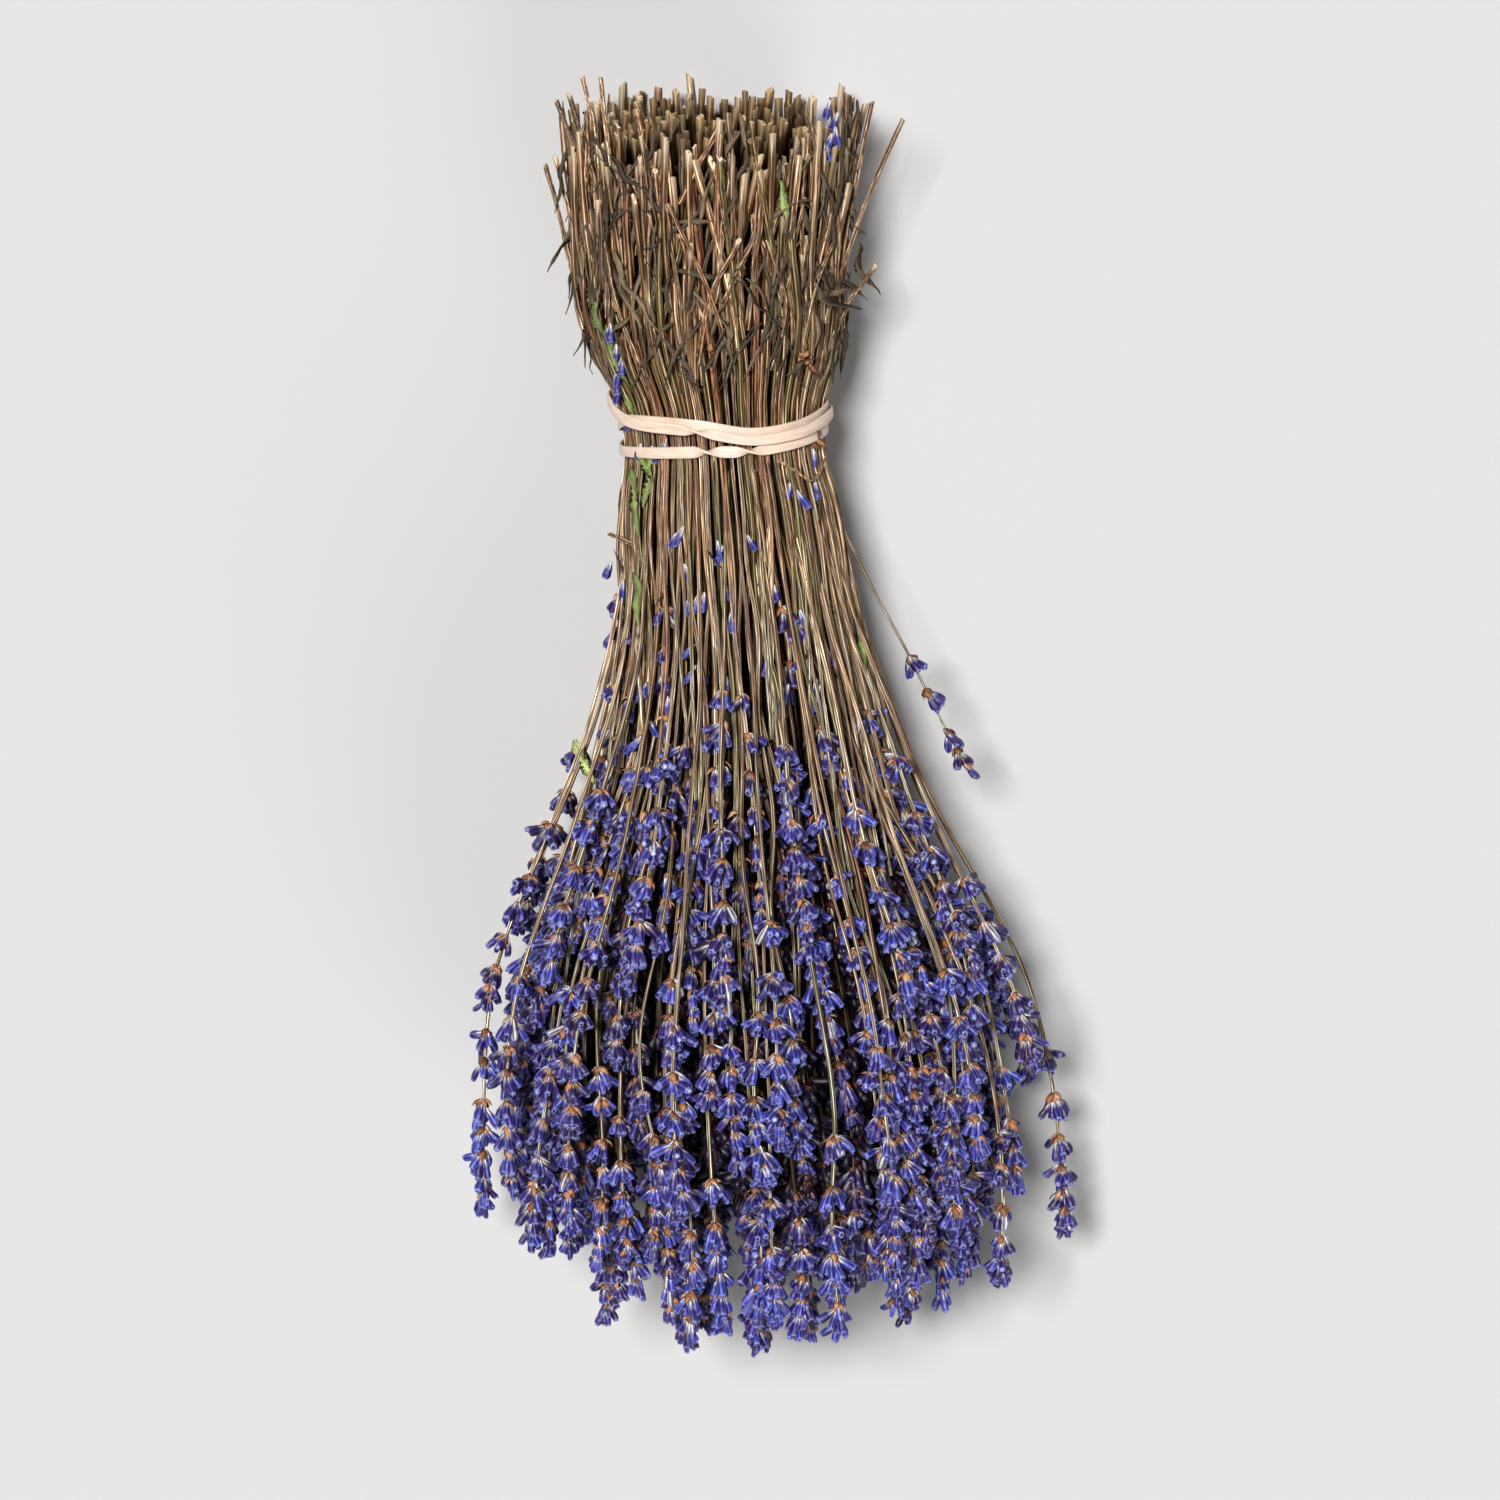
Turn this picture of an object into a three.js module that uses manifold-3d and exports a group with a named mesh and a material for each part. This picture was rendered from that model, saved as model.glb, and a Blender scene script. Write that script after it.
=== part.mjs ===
// A bunch of dried lavender, tied near its cut ends with a rubber band and lying on its side.
// Millimetres. The bunch runs along Y: cut ends towards +Y, flower tips towards -Y, resting on z = 0.
import * as THREE from 'three';
import { mergeVertices } from 'three/addons/utils/BufferGeometryUtils.js';
import Module from 'manifold-3d';

const wasm = await Module();
wasm.setup();

// ---- driving dimensions -------------------------------------------------------------------

// The bunch's outline across Y: where its middle lies, half its width and half its height, and
// how much of the lower half is left where the bunch's own weight flattens it.
const OUTLINE = [
  { y: -180, midX: 1.0, halfWidth: 68, midZ: 45.0, halfHeight: 54, kept: 0.82 },
  { y: -136, midX: 0.0, halfWidth: 72, midZ: 46.2, halfHeight: 57, kept: 0.82 },
  { y: -80, midX: -4.0, halfWidth: 68, midZ: 44.8, halfHeight: 54, kept: 0.83 },
  { y: -24, midX: -6.4, halfWidth: 46, midZ: 41.0, halfHeight: 39, kept: 0.88 },
  { y: 5, midX: -7.4, halfWidth: 37, midZ: 39.0, halfHeight: 31, kept: 0.95 },
  { y: 32, midX: -9.5, halfWidth: 30.5, midZ: 37.5, halfHeight: 26, kept: 1.0 },
  { y: 80, midX: -13.3, halfWidth: 25.6, midZ: 35.0, halfHeight: 22.5, kept: 1.0 },
  { y: 116, midX: -16.6, halfWidth: 33, midZ: 33.5, halfHeight: 28, kept: 0.97 },
  { y: 180, midX: -16.6, halfWidth: 40, midZ: 31.4, halfHeight: 35, kept: 0.93 },
];

// Handfuls of sprigs: one in the middle and three rings around it, in shares of the outline.
const RING_STEP = 0.29;
const RING_COUNTS = [1, 6, 12, 18];
const HANDFUL_SHARE = 0.1385;
const HANDFUL_SIDES = 7;
const LOOSE_SHARE = 0.97;
const STEMS_RADIUS = 3.9;
const OUTER_EDGE = (RING_COUNTS.length - 1) * RING_STEP + HANDFUL_SHARE;

// Where the handfuls are cut, where their flowers begin and where they end.
const CUT_Y = 169;
const CUT_SLANT = 10;
const CUT_SPREAD = 5;
const FLOWERS_Y = -48;
const FLOWERS_RISE = 36;
const FLOWERS_SPREAD = 9;
const TIP_Y = -170;
const TIP_RISE = 28;
const TIP_SPREAD = 11;
const SWELL_LENGTH = 34;
const TIP_TAPER = 26;
const TIP_RADIUS = 2.4;

// Tiers of whorls down the flowers: each is narrow at its top and widest lower down.
const TIER_PITCH = 19;
const TIER_DROP = 14;
const TIER_NECK = 0.76;

// The band lies on the neck and the single sprigs run under it.
const NECK_Y = 80;
const NECK_REACH = 10;
const GAP = 0.35;

// Where the stems get a ring of points, besides their cut ends and where the flowers begin.
const STEM_STATIONS = [128, NECK_Y + NECK_REACH, NECK_Y, NECK_Y - NECK_REACH, 46, 20];

const BAND_WIDTH = 3.1;
const BAND_THICKNESS = 1.0;
const BAND_LAYER = BAND_THICKNESS + GAP;
const BAND_TURNS = 3;
const BAND_STEPS = 144;
const BAND_SIDES = 6;

// The band's middle line as it is wound: how far it has turned round the neck, in degrees from the
// -X side over the top, its Y, and whether it lies on the sprigs (0) or over another turn (1).
const BAND_PATH = [
  { turn: 0, y: 88.2, layer: 1 },
  { turn: 27, y: 83.6, layer: 1 },
  { turn: 77, y: 81.2, layer: 1 },
  { turn: 105, y: 78.9, layer: 1 },
  { turn: 130, y: 80.0, layer: 1 },
  { turn: 175, y: 84.4, layer: 1 },
  { turn: 270, y: 80.0, layer: 1 },
  { turn: 315, y: 76.6, layer: 1 },
  { turn: 360, y: 74.2, layer: 0.4 },
  { turn: 400, y: 74.6, layer: 0 },
  { turn: 442, y: 75.6, layer: 0 },
  { turn: 464, y: 75.7, layer: 0 },
  { turn: 540, y: 80.4, layer: 0 },
  { turn: 630, y: 80.4, layer: 0 },
  { turn: 720, y: 80.9, layer: 0 },
  { turn: 747, y: 83.2, layer: 0 },
  { turn: 797, y: 82.8, layer: 0 },
  { turn: 825, y: 80.6, layer: 0 },
  { turn: 850, y: 81.7, layer: 0 },
  { turn: 895, y: 86.2, layer: 0 },
  { turn: 960, y: 87.4, layer: 0 },
  { turn: 1040, y: 88.2, layer: 1 },
];

// Single sprigs on the outside: the side they lie on, where their flowers begin, the number of
// whorls, how far the tip leans out of the bunch, and the Y of the cut end.
const STEM_RADIUS = 0.95;
const SPRIG_SIDES = 5;
const WHORL_RADIUS = 5.6;
const WHORL_PITCH = 8.6;
const WHORL_DROP = 6.4;
const WHORL_NECK = 1.7;
const LAST_WHORL = 0.72;
const TIP_POINT = 1;
const LEAN_BEND = 1.5;
const OUTER_SPRIGS = [
  { side: -22, flowers: -58, whorls: 6, lean: 3, cut: 158 },
  { side: -9, flowers: -98, whorls: 6, lean: 7, cut: 164 },
  { side: 4, flowers: 16, whorls: 4, lean: 14, cut: 150 },
  { side: 17, flowers: -44, whorls: 6, lean: 2, cut: 161 },
  { side: 29, flowers: -10, whorls: 7, lean: 0, cut: 155 },
  { side: 41, flowers: -66, whorls: 6, lean: 0, cut: 166 },
  { side: 53, flowers: -22, whorls: 6, lean: 0, cut: 157 },
  { side: 64, flowers: -84, whorls: 7, lean: 0, cut: 163 },
  { side: 75, flowers: -4, whorls: 6, lean: 0, cut: 152 },
  { side: 86, flowers: -50, whorls: 7, lean: 0, cut: 167 },
  { side: 97, flowers: -26, whorls: 6, lean: 0, cut: 158 },
  { side: 108, flowers: -78, whorls: 6, lean: 0, cut: 162 },
  { side: 119, flowers: -8, whorls: 7, lean: 0, cut: 154 },
  { side: 131, flowers: -58, whorls: 6, lean: 0, cut: 165 },
  { side: 143, flowers: -18, whorls: 6, lean: 0, cut: 159 },
  { side: 156, flowers: -70, whorls: 7, lean: 0, cut: 163 },
  { side: 169, flowers: -30, whorls: 6, lean: 3, cut: 156 },
  { side: 182, flowers: -90, whorls: 6, lean: 2, cut: 167 },
  { side: 195, flowers: -12, whorls: 6, lean: 1, cut: 160 },
  { side: 208, flowers: -62, whorls: 7, lean: 2, cut: 155 },
];

const LEAST_ROOM = 0.05;
const GOLDEN = (Math.sqrt(5) - 1) / 2;

// ---- materials ----------------------------------------------------------------------------

const flowerMaterial = new THREE.MeshStandardMaterial({ color: '#4a4696', roughness: 0.85, metalness: 0 });
const bandMaterial = new THREE.MeshStandardMaterial({ color: '#e6cfae', roughness: 0.6, metalness: 0 });

// ---- the outline as a smooth function of Y ------------------------------------------------

const outlineValues = OUTLINE.map((o) => [o.midX, o.halfWidth, o.midZ, o.halfHeight, o.kept]);
const outlineCurve = new THREE.CubicInterpolant(
  OUTLINE.map((o) => o.y),
  outlineValues.flat(),
  outlineValues[0].length,
);

function outlineAt(y) {
  const held = THREE.MathUtils.clamp(y, OUTLINE[0].y, OUTLINE[OUTLINE.length - 1].y);
  const [midX, halfWidth, midZ, halfHeight, kept] = outlineCurve.evaluate(held);
  return { midX, halfWidth, midZ, halfHeight, kept: Math.min(kept, 1) };
}

// A point of the bunch from its shares a and b of the half width and half height. The lower half
// is pressed flat: no point lies deeper than the share of the half height that is kept.
function pointAt(a, b, y) {
  const o = outlineAt(y);
  const room = Math.sqrt(Math.max(1 - a * a, LEAST_ROOM));
  const pressed = b < 0 ? Math.min(1, o.kept / room) : 1;
  return new THREE.Vector3(o.midX + a * o.halfWidth, y, o.midZ + b * pressed * o.halfHeight);
}

// A number from -1 to 1 that differs from piece to piece.
function spread(index) {
  return 2 * ((index * GOLDEN) % 1) - 1;
}

// ---- solids -------------------------------------------------------------------------------

// A closed skin over rings of points, each with the same number of points, capped at both ends.
function loft(rings) {
  const sides = rings[0].length;
  const middles = [rings[0], rings[rings.length - 1]].map((ring) =>
    ring.reduce((sum, p) => sum.add(p), new THREE.Vector3()).divideScalar(sides));
  const geometry = new THREE.BufferGeometry().setFromPoints([...rings.flat(), ...middles]);
  const index = [];
  const firstMiddle = rings.length * sides;
  for (let side = 0; side < sides; side += 1) {
    const next = (side + 1) % sides;
    for (let ring = 0; ring < rings.length - 1; ring += 1) {
      const here = ring * sides;
      const there = here + sides;
      index.push(here + side, here + next, there + next);
      index.push(here + side, there + next, there + side);
    }
    const last = firstMiddle - sides;
    index.push(firstMiddle, next, side);
    index.push(firstMiddle + 1, last + side, last + next);
  }
  geometry.setIndex(index);
  return geometry;
}

// The same skin as a solid, cut off flat where it would reach below the surface it lies on.
function restOnSurface(geometry) {
  const solid = new wasm.Manifold(new wasm.Mesh({
    numProp: 3,
    vertProperties: geometry.getAttribute('position').array,
    triVerts: new Uint32Array(geometry.getIndex().array),
  }));
  const cut = solid.trimByPlane([0, 0, 1], 0).getMesh();
  const rested = new THREE.BufferGeometry();
  rested.setAttribute('position', new THREE.BufferAttribute(cut.vertProperties, 3));
  rested.setIndex(new THREE.BufferAttribute(cut.triVerts, 1));
  return rested;
}

// ---- handfuls -----------------------------------------------------------------------------

// The handful's half thickness at y, as a share of the outline. Waist is 1 where a tier is widest.
function handfulShare({ y, waist }, flowersY, tipY) {
  const o = outlineAt(y);
  const stems = Math.min(STEMS_RADIUS / Math.sqrt(o.halfWidth * o.halfHeight), HANDFUL_SHARE);
  if (y >= NECK_Y - NECK_REACH) {
    const opened = THREE.MathUtils.smoothstep(y, NECK_Y + NECK_REACH, CUT_Y);
    return HANDFUL_SHARE * THREE.MathUtils.lerp(1, LOOSE_SHARE, opened);
  }
  const swollen = THREE.MathUtils.smoothstep(flowersY - y, 0, SWELL_LENGTH);
  const flowers = THREE.MathUtils.lerp(stems, HANDFUL_SHARE, swollen) * waist;
  const ended = THREE.MathUtils.smoothstep(tipY + TIP_TAPER - y, 0, TIP_TAPER);
  return THREE.MathUtils.lerp(flowers, TIP_RADIUS / o.halfWidth, ended);
}

function handful(a, b, index) {
  const out = a * a + b * b;
  const cutY = CUT_Y - CUT_SLANT * b + CUT_SPREAD * spread(index * 3 + 1);
  const flowersY = FLOWERS_Y + FLOWERS_RISE * out + FLOWERS_SPREAD * spread(index * 5 + 2);
  const tipY = TIP_Y + TIP_RISE * out + TIP_SPREAD * spread(index * 7 + 3);
  const rows = [cutY, ...STEM_STATIONS, flowersY].map((y) => ({ y, waist: 1 }));
  for (let y = flowersY - TIER_DROP; y > tipY + TIER_PITCH - TIER_DROP; y -= TIER_PITCH) {
    rows.push({ y, waist: 1 });
    rows.push({ y: y + TIER_DROP - TIER_PITCH, waist: TIER_NECK });
  }
  rows.push({ y: tipY, waist: 1 });
  const rings = rows.map((row) => {
    const share = handfulShare(row, flowersY, tipY);
    return Array.from({ length: HANDFUL_SIDES }, (_, side) => {
      const turn = (side / HANDFUL_SIDES) * 2 * Math.PI;
      return pointAt(a + share * Math.cos(turn), b + share * Math.sin(turn), row.y);
    });
  });
  return restOnSurface(loft(rings));
}

function handfuls() {
  const group = new THREE.Group();
  let index = 0;
  RING_COUNTS.forEach((count, ring) => {
    for (let place = 0; place < count; place += 1) {
      const turn = ((place + 0.5 * (ring % 2)) / count) * 2 * Math.PI;
      const a = RING_STEP * ring * Math.cos(turn);
      const b = RING_STEP * ring * Math.sin(turn);
      index += 1;
      const mesh = new THREE.Mesh(handful(a, b, index), flowerMaterial);
      mesh.name = `handful_${String(index).padStart(2, '0')}`;
      group.add(mesh);
    }
  });
  return group;
}

// ---- single sprigs on the outside ---------------------------------------------------------

// The sprig's own radius at each of its stations, from the cut end to the tip.
function sprigStations({ flowers, whorls, cut }) {
  const stations = [cut, ...STEM_STATIONS].filter((y) => y > flowers + TIP_POINT);
  const rows = stations.map((y) => ({ y, radius: STEM_RADIUS }));
  for (let whorl = 0; whorl < whorls; whorl += 1) {
    const top = flowers - whorl * WHORL_PITCH;
    const size = WHORL_RADIUS * (whorl === whorls - 1 ? LAST_WHORL : 1);
    rows.push({ y: top, radius: WHORL_NECK });
    rows.push({ y: top - WHORL_DROP, radius: size });
  }
  rows.push({ y: flowers - whorls * WHORL_PITCH - TIP_POINT, radius: WHORL_NECK });
  return rows;
}

// How far the sprig's middle lies outside the handfuls, so that its widest whorl clears them.
function sprigStandOff(y, { flowers, whorls, lean }) {
  const below = NECK_Y - NECK_REACH - y;
  const swollen = THREE.MathUtils.smoothstep(below, 0, NECK_Y - NECK_REACH - flowers);
  const radius = THREE.MathUtils.lerp(STEM_RADIUS, WHORL_RADIUS, swollen);
  const tip = flowers - whorls * WHORL_PITCH;
  const along = THREE.MathUtils.clamp(below / (NECK_Y - NECK_REACH - tip), 0, 1);
  return radius + GAP + lean * along ** LEAN_BEND;
}

function outerSprig(sprig) {
  const side = THREE.MathUtils.degToRad(sprig.side);
  const rings = sprigStations(sprig).map(({ y, radius }) => {
    const o = outlineAt(y);
    const outward = new THREE.Vector3(Math.cos(side) * o.halfHeight, 0, Math.sin(side) * o.halfWidth);
    const middle = pointAt(OUTER_EDGE * Math.cos(side), OUTER_EDGE * Math.sin(side), y);
    middle.addScaledVector(outward.normalize(), sprigStandOff(y, sprig));
    return Array.from({ length: SPRIG_SIDES }, (_, corner) => {
      const turn = (corner / SPRIG_SIDES) * 2 * Math.PI;
      return new THREE.Vector3(Math.cos(turn) * radius, 0, Math.sin(turn) * radius).add(middle);
    });
  });
  return loft(rings);
}

function outerSprigs() {
  const group = new THREE.Group();
  OUTER_SPRIGS.forEach((sprig, index) => {
    const mesh = new THREE.Mesh(outerSprig(sprig), flowerMaterial);
    mesh.name = `outer_sprig_${String(index + 1).padStart(2, '0')}`;
    group.add(mesh);
  });
  return group;
}

// ---- rubber band --------------------------------------------------------------------------

// The path goes on past both its ends, so that it runs smoothly through the join.
const wholePath = 360 * BAND_TURNS;
const bandKnots = [
  ...BAND_PATH.slice(-2).map((knot) => ({ ...knot, turn: knot.turn - wholePath })),
  ...BAND_PATH,
  ...BAND_PATH.slice(0, 2).map((knot) => ({ ...knot, turn: knot.turn + wholePath })),
];
const bandCurve = new THREE.CubicInterpolant(
  bandKnots.map((knot) => knot.turn),
  bandKnots.flatMap((knot) => [knot.y, knot.layer]),
  2,
);

// One closed loop wound three times round the neck. Where two turns cross, one lies over the
// other. It starts as a torus, and each of its points is moved.
function rubberBand() {
  const geometry = new THREE.TorusGeometry(1, 0.5, BAND_SIDES, BAND_STEPS);
  const lowest = 2 * STEM_RADIUS + 2 * GAP + 0.5 * BAND_THICKNESS;
  const position = geometry.getAttribute('position');
  const uv = geometry.getAttribute('uv');
  for (let i = 0; i < position.count; i += 1) {
    const turn = uv.getX(i) * wholePath;
    const angle = Math.PI - THREE.MathUtils.degToRad(turn);
    const corner = uv.getY(i) * 2 * Math.PI;
    const [y, layer] = bandCurve.evaluate(turn);
    const neck = outlineAt(y);
    const rise = lowest + layer * BAND_LAYER + 0.5 * BAND_THICKNESS * Math.cos(corner);
    position.setXYZ(
      i,
      neck.midX + Math.cos(angle) * (OUTER_EDGE * neck.halfWidth + rise),
      y + 0.5 * BAND_WIDTH * Math.sin(corner),
      neck.midZ + Math.sin(angle) * (OUTER_EDGE * neck.halfHeight + rise),
    );
  }
  geometry.deleteAttribute('normal');
  geometry.deleteAttribute('uv');
  const mesh = new THREE.Mesh(mergeVertices(geometry, 1e-3), bandMaterial);
  mesh.name = 'rubber_band';
  return mesh;
}

// ---- the bunch, with its origin under the middle of its outer box ---------------------------

const group = new THREE.Group();
group.add(handfuls(), outerSprigs(), rubberBand());
const middle = new THREE.Box3().setFromObject(group, true).getCenter(new THREE.Vector3());
group.children.forEach((part) => part.position.set(-middle.x, -middle.y, 0));

export default group;
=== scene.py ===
"""A bunch of dried lavender, lying on its side, grown round the solids of its frame.

Sizes in the settings are metres, as Blender has them. The growing is worked out in millimetres, in
the frame's own directions (cut ends towards +Y, flower tips towards -Y), and becomes metres when a
mesh is made.
"""

import math
from types import SimpleNamespace

import bpy
import numpy as np
from bpy.props import FloatProperty, FloatVectorProperty, IntProperty, PointerProperty
from bpy.types import Operator, Panel, PropertyGroup
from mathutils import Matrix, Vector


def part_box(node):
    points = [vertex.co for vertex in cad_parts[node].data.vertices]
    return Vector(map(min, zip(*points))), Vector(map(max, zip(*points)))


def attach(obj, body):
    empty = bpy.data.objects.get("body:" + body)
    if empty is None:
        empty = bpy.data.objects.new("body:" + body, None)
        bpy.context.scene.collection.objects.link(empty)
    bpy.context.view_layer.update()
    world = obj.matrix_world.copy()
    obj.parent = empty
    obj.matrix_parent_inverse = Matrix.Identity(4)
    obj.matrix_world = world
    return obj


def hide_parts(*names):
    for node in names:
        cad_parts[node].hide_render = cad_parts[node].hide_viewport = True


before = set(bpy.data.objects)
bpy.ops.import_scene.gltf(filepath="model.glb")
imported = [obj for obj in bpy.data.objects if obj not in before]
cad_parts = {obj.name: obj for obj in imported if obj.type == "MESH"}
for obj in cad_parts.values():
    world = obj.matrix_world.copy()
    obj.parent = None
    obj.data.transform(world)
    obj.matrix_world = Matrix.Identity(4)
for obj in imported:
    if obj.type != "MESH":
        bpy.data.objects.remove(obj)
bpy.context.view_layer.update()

bl_info = {
    "name": "Dried lavender bunch",
    "version": (1, 0, 0),
    "blender": (4, 5, 0),
    "location": "3D View > Sidebar > Lavender",
    "description": "Grows a tied bunch of dried lavender round its frame",
    "category": "Add Mesh",
}

MM = 0.001
SEED = 20

# ---- the bunch's shape, as its frame has it -----------------------------------------------------

# Across Y: the middle, half the width, the middle's height, half the height, and how much of the
# lower half is left where the bunch's own weight flattens it.
OUTLINE = np.array((
    (-180, 1.0, 68, 45.0, 54, 0.82),
    (-136, 0.0, 72, 46.2, 57, 0.82),
    (-80, -4.0, 68, 44.8, 54, 0.83),
    (-24, -6.4, 46, 41.0, 39, 0.88),
    (5, -7.4, 37, 39.0, 31, 0.95),
    (32, -9.5, 30.5, 37.5, 26, 1.0),
    (80, -13.3, 25.6, 35.0, 22.5, 1.0),
    (116, -16.6, 33, 33.5, 28, 0.97),
    (180, -16.6, 40, 31.4, 35, 0.93),
))
# The least that is left of 1 - a * a at the sides, for the room across and for the rise on top.
LEAST_ROOM, LEAST_RISE = 0.05, 0.03

# Handfuls lie in rings, in shares of the outline.
RING_STEP = 0.29
RING_COUNTS = (1, 6, 12, 18)
OUTER_EDGE = 3 * RING_STEP + 0.1385
# Where the stems are cut and where the flowers begin, and how both change from side to side.
CUT_Y, CUT_SLANT = 166, 7.5
FLOWERS_Y, FLOWERS_RISE = -35, 36
NECK_Y, NECK_REACH = 80, 10
GAP = 0.35
STEM_RADIUS = 0.95

# The single sprigs on the outside: the side in degrees, where the flowers begin, the number of
# whorls, how far the tip leans out, and where the stem is cut. One that leans out further than
# LEANS_FAR is thin.
OUTER_SPRIGS = (
    (-22, -58, 6, 3, 158), (-9, -98, 6, 7, 164), (4, 16, 4, 14, 150), (17, -44, 6, 2, 161),
    (29, -10, 7, 0, 155), (41, -66, 6, 0, 166), (53, -22, 6, 0, 157), (64, -84, 7, 0, 163),
    (75, -4, 6, 0, 152), (86, -50, 7, 0, 167), (97, -26, 6, 0, 158), (108, -78, 6, 0, 162),
    (119, -8, 7, 0, 154), (131, -58, 6, 0, 165), (143, -18, 6, 0, 159), (156, -70, 7, 0, 163),
    (169, -30, 6, 3, 156), (182, -90, 6, 2, 167), (195, -12, 6, 1, 160), (208, -62, 7, 2, 155),
)
WHORL_RADIUS, WHORL_PITCH = 5.6, 8.6
LEAN_BEND = 1.5
LEANS_FAR = 10

# The rubber band's middle line as it is wound: how far it has turned round the neck, in degrees
# from the -X side over the top, its Y, and whether it lies on the sprigs (0) or over another turn
# (1).
BAND_PATH = np.array((
    (0, 88.2, 1), (27, 83.6, 1), (77, 81.2, 1), (105, 78.9, 1), (130, 80.0, 1), (175, 84.4, 1),
    (270, 80.0, 1), (315, 76.6, 1), (360, 74.2, 0.4), (400, 74.6, 0), (442, 75.6, 0),
    (464, 75.7, 0), (540, 80.4, 0), (630, 80.4, 0), (720, 80.9, 0), (747, 83.2, 0),
    (797, 82.8, 0), (825, 80.6, 0), (850, 81.7, 0), (895, 86.2, 0), (960, 87.4, 0),
    (1040, 88.2, 1),
))
BAND_TURNS = 3
BAND_WIDTH, BAND_THICKNESS = 3.1, 1.0
BAND_STEPS, BAND_SIDES = 144, 6
FINE_BAND_STEPS, FINE_BAND_SIDES = 720, 14
# The fine band's section, as shares of its width and thickness, how square each side of it is, and
# how much and how fast the width varies round the neck.
BAND_SECTION, BAND_SQUARENESS = (0.51, 0.42), (0.45, 0.6)
BAND_VARIES, BAND_VARIES_BY = 0.06, 2.7
# Where the band is twisted by half a turn, in the same degrees, how far each twist reaches, how
# much narrower the band is there, and how far it rises where it stands on edge.
BAND_TWISTS = (77, 441, 464, 600)
TWIST_REACH, TWIST_NARROWING, TWIST_RISE = 9, 0.38, 0.7

# ---- growing habits -----------------------------------------------------------------------------

# How many stems there are inside and in the outermost layer, the share of the outline at which
# that layer lies, how many sprigs a handful holds at most, and how many are bare or slender.
INNER_STEMS, OUTER_LAYER_STEMS = 352, 126
OUTER_LAYER_SHARE = 1.066
MOST_SPRIGS = 16
BARE_SHARE, SLENDER_SHARE = 0.09, 0.32
# How much further out the stems are than their outline where they spring apart beside the band,
# and how far from the band they begin to and are back.
SPRING = 0.06
SPRING_BEGINS, SPRING_ENDS = (5, 20), (26, 52)
# How far down the spikes reach, and how much less at the sides and on top.
TIP_Y, SIDE_RISE, TOP_RISE = -184, 26, 10
# Where across the head, in shares of its half width, tips lie together, how much shorter the
# spikes between them are, and how strongly spikes are drawn there.
FINGERS = np.array((-0.97, -0.67, -0.31, 0.0, 0.22, 0.6, 0.93))
FINGER_REACH, FINGER_RISE, FINGER_PULL = 0.15, 11, 0.3
# Between which Y the stems pass from their places at the neck to those in the head and at the
# cut ends, and by which share the outermost ones are drawn in there.
HEAD_FROM, HEAD_TO, HEAD_DRAWN_IN = 62, -30, 0.09
CUT_FROM, CUT_TO, CUT_DRAWN_IN = 98, 160, 0.06
# Away from the band the stems are free to sway, fully so past these Y, and those of the single
# sprigs this far below the band and past this Y.
FREE_BELOW, FREE_ABOVE = 20, 130
SINGLE_FREE_OVER, SINGLE_FREE_ABOVE = 60, 150
# A spike leans to its side from this far before its flowers on, over this length.
LEAN_BEFORE, LEAN_OVER, LEAN_POWER = 34, 85, 1.6
# What lies deeper than these shares of the outline, and this far from the tips, gets painted shade.
SHADED_SHARES, SHADED_REACH = (0.72, 0.98), (24, 68)
# How many places are tried for a spike.
SPIKE_TRIES = 10
# What would lie lower than this is pressed up by the surface under the bunch.
PRESSED_DEPTH = 1.5

# Dried leaves: how many, the share by the cut ends, between which Y they begin there and below the
# band, and the Y that they keep out of at the band.
LEAVES, LEAVES_ABOVE = 400, 0.87
LEAF_Y_ABOVE, LEAF_Y_BELOW = (96, 172), (12, 66)
CLEAR_OF_BAND = (68, 92)
# Green blades that end between these Y lie under the band, and past this Y flowers lie singly.
UNDER_BAND, SINGLE_FLORETS_ABOVE = (74, 92), 76
# Stubs of stems: how many, between which Y they are cut, and where they end at the band's side.
STUBS, STUB_CUTS, STUB_END = 150, (126, 171), 92
# Thin stems that cross the others below the band: how many, where they begin, and between which Y
# their middles and ends lie.
CROSSING_STEMS, CROSSING_BEGINS = 44, 70
CROSSING_MIDDLES, CROSSING_ENDS = (20, 50), (-45, 0)

# Loose ends on the upper side: lines of points, each with X, Y and its height over the sprigs.
STRAY_STEMS = (
    ((-47, 150, -2), (-49, 166, 0), (-52, 178, 1)),
    ((-44, 148, -2), (-45.5, 165, 0), (-46.8, 178, 1)),
    ((-52, 152, -2), (-59.5, 171, 0)),
    ((-49, 150, -2), (-56, 173, 2)),
    ((18, 118, -2), (23, 146, 0), (28, 171, 1)),
    ((15, 112, -2), (24, 137, 0.5), (30, 152, 2), (36.5, 166, 3)),
    ((17, 106, -1), (22, 116, 2), (29, 126, 6)),
    ((-12, 104, -1), (-17, 120, 2), (-28.5, 144, 3)),
    ((-53, 112, -3), (-58, 136, -1), (-62.5, 153, 0)),
    ((-50, 116, -3), (-56, 140, -1), (-60, 156, 0)),
    ((-20, 100, -1), (-17, 118, 1), (-9, 134, 2)),
    ((0, 98, -1), (4, 116, 1.5), (-1, 133, 2)),
    ((-36, 98, -1), (-43, 118, 1.5), (-46, 134, 2)),
    ((8, 100, -1), (12, 120, 1.5), (20, 138, 2)),
    ((-38, 49, -2), (-44.5, 50.5, 0)),
)
# Thin bare twigs, in the same way.
TWIGS = (
    ((2, 72.8, 0.6), (7, 69.7, 1.2), (10.9, 67, 1.5), (14, 69.7, 1.4), (15.5, 73.5, 0.8)),
)
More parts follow.
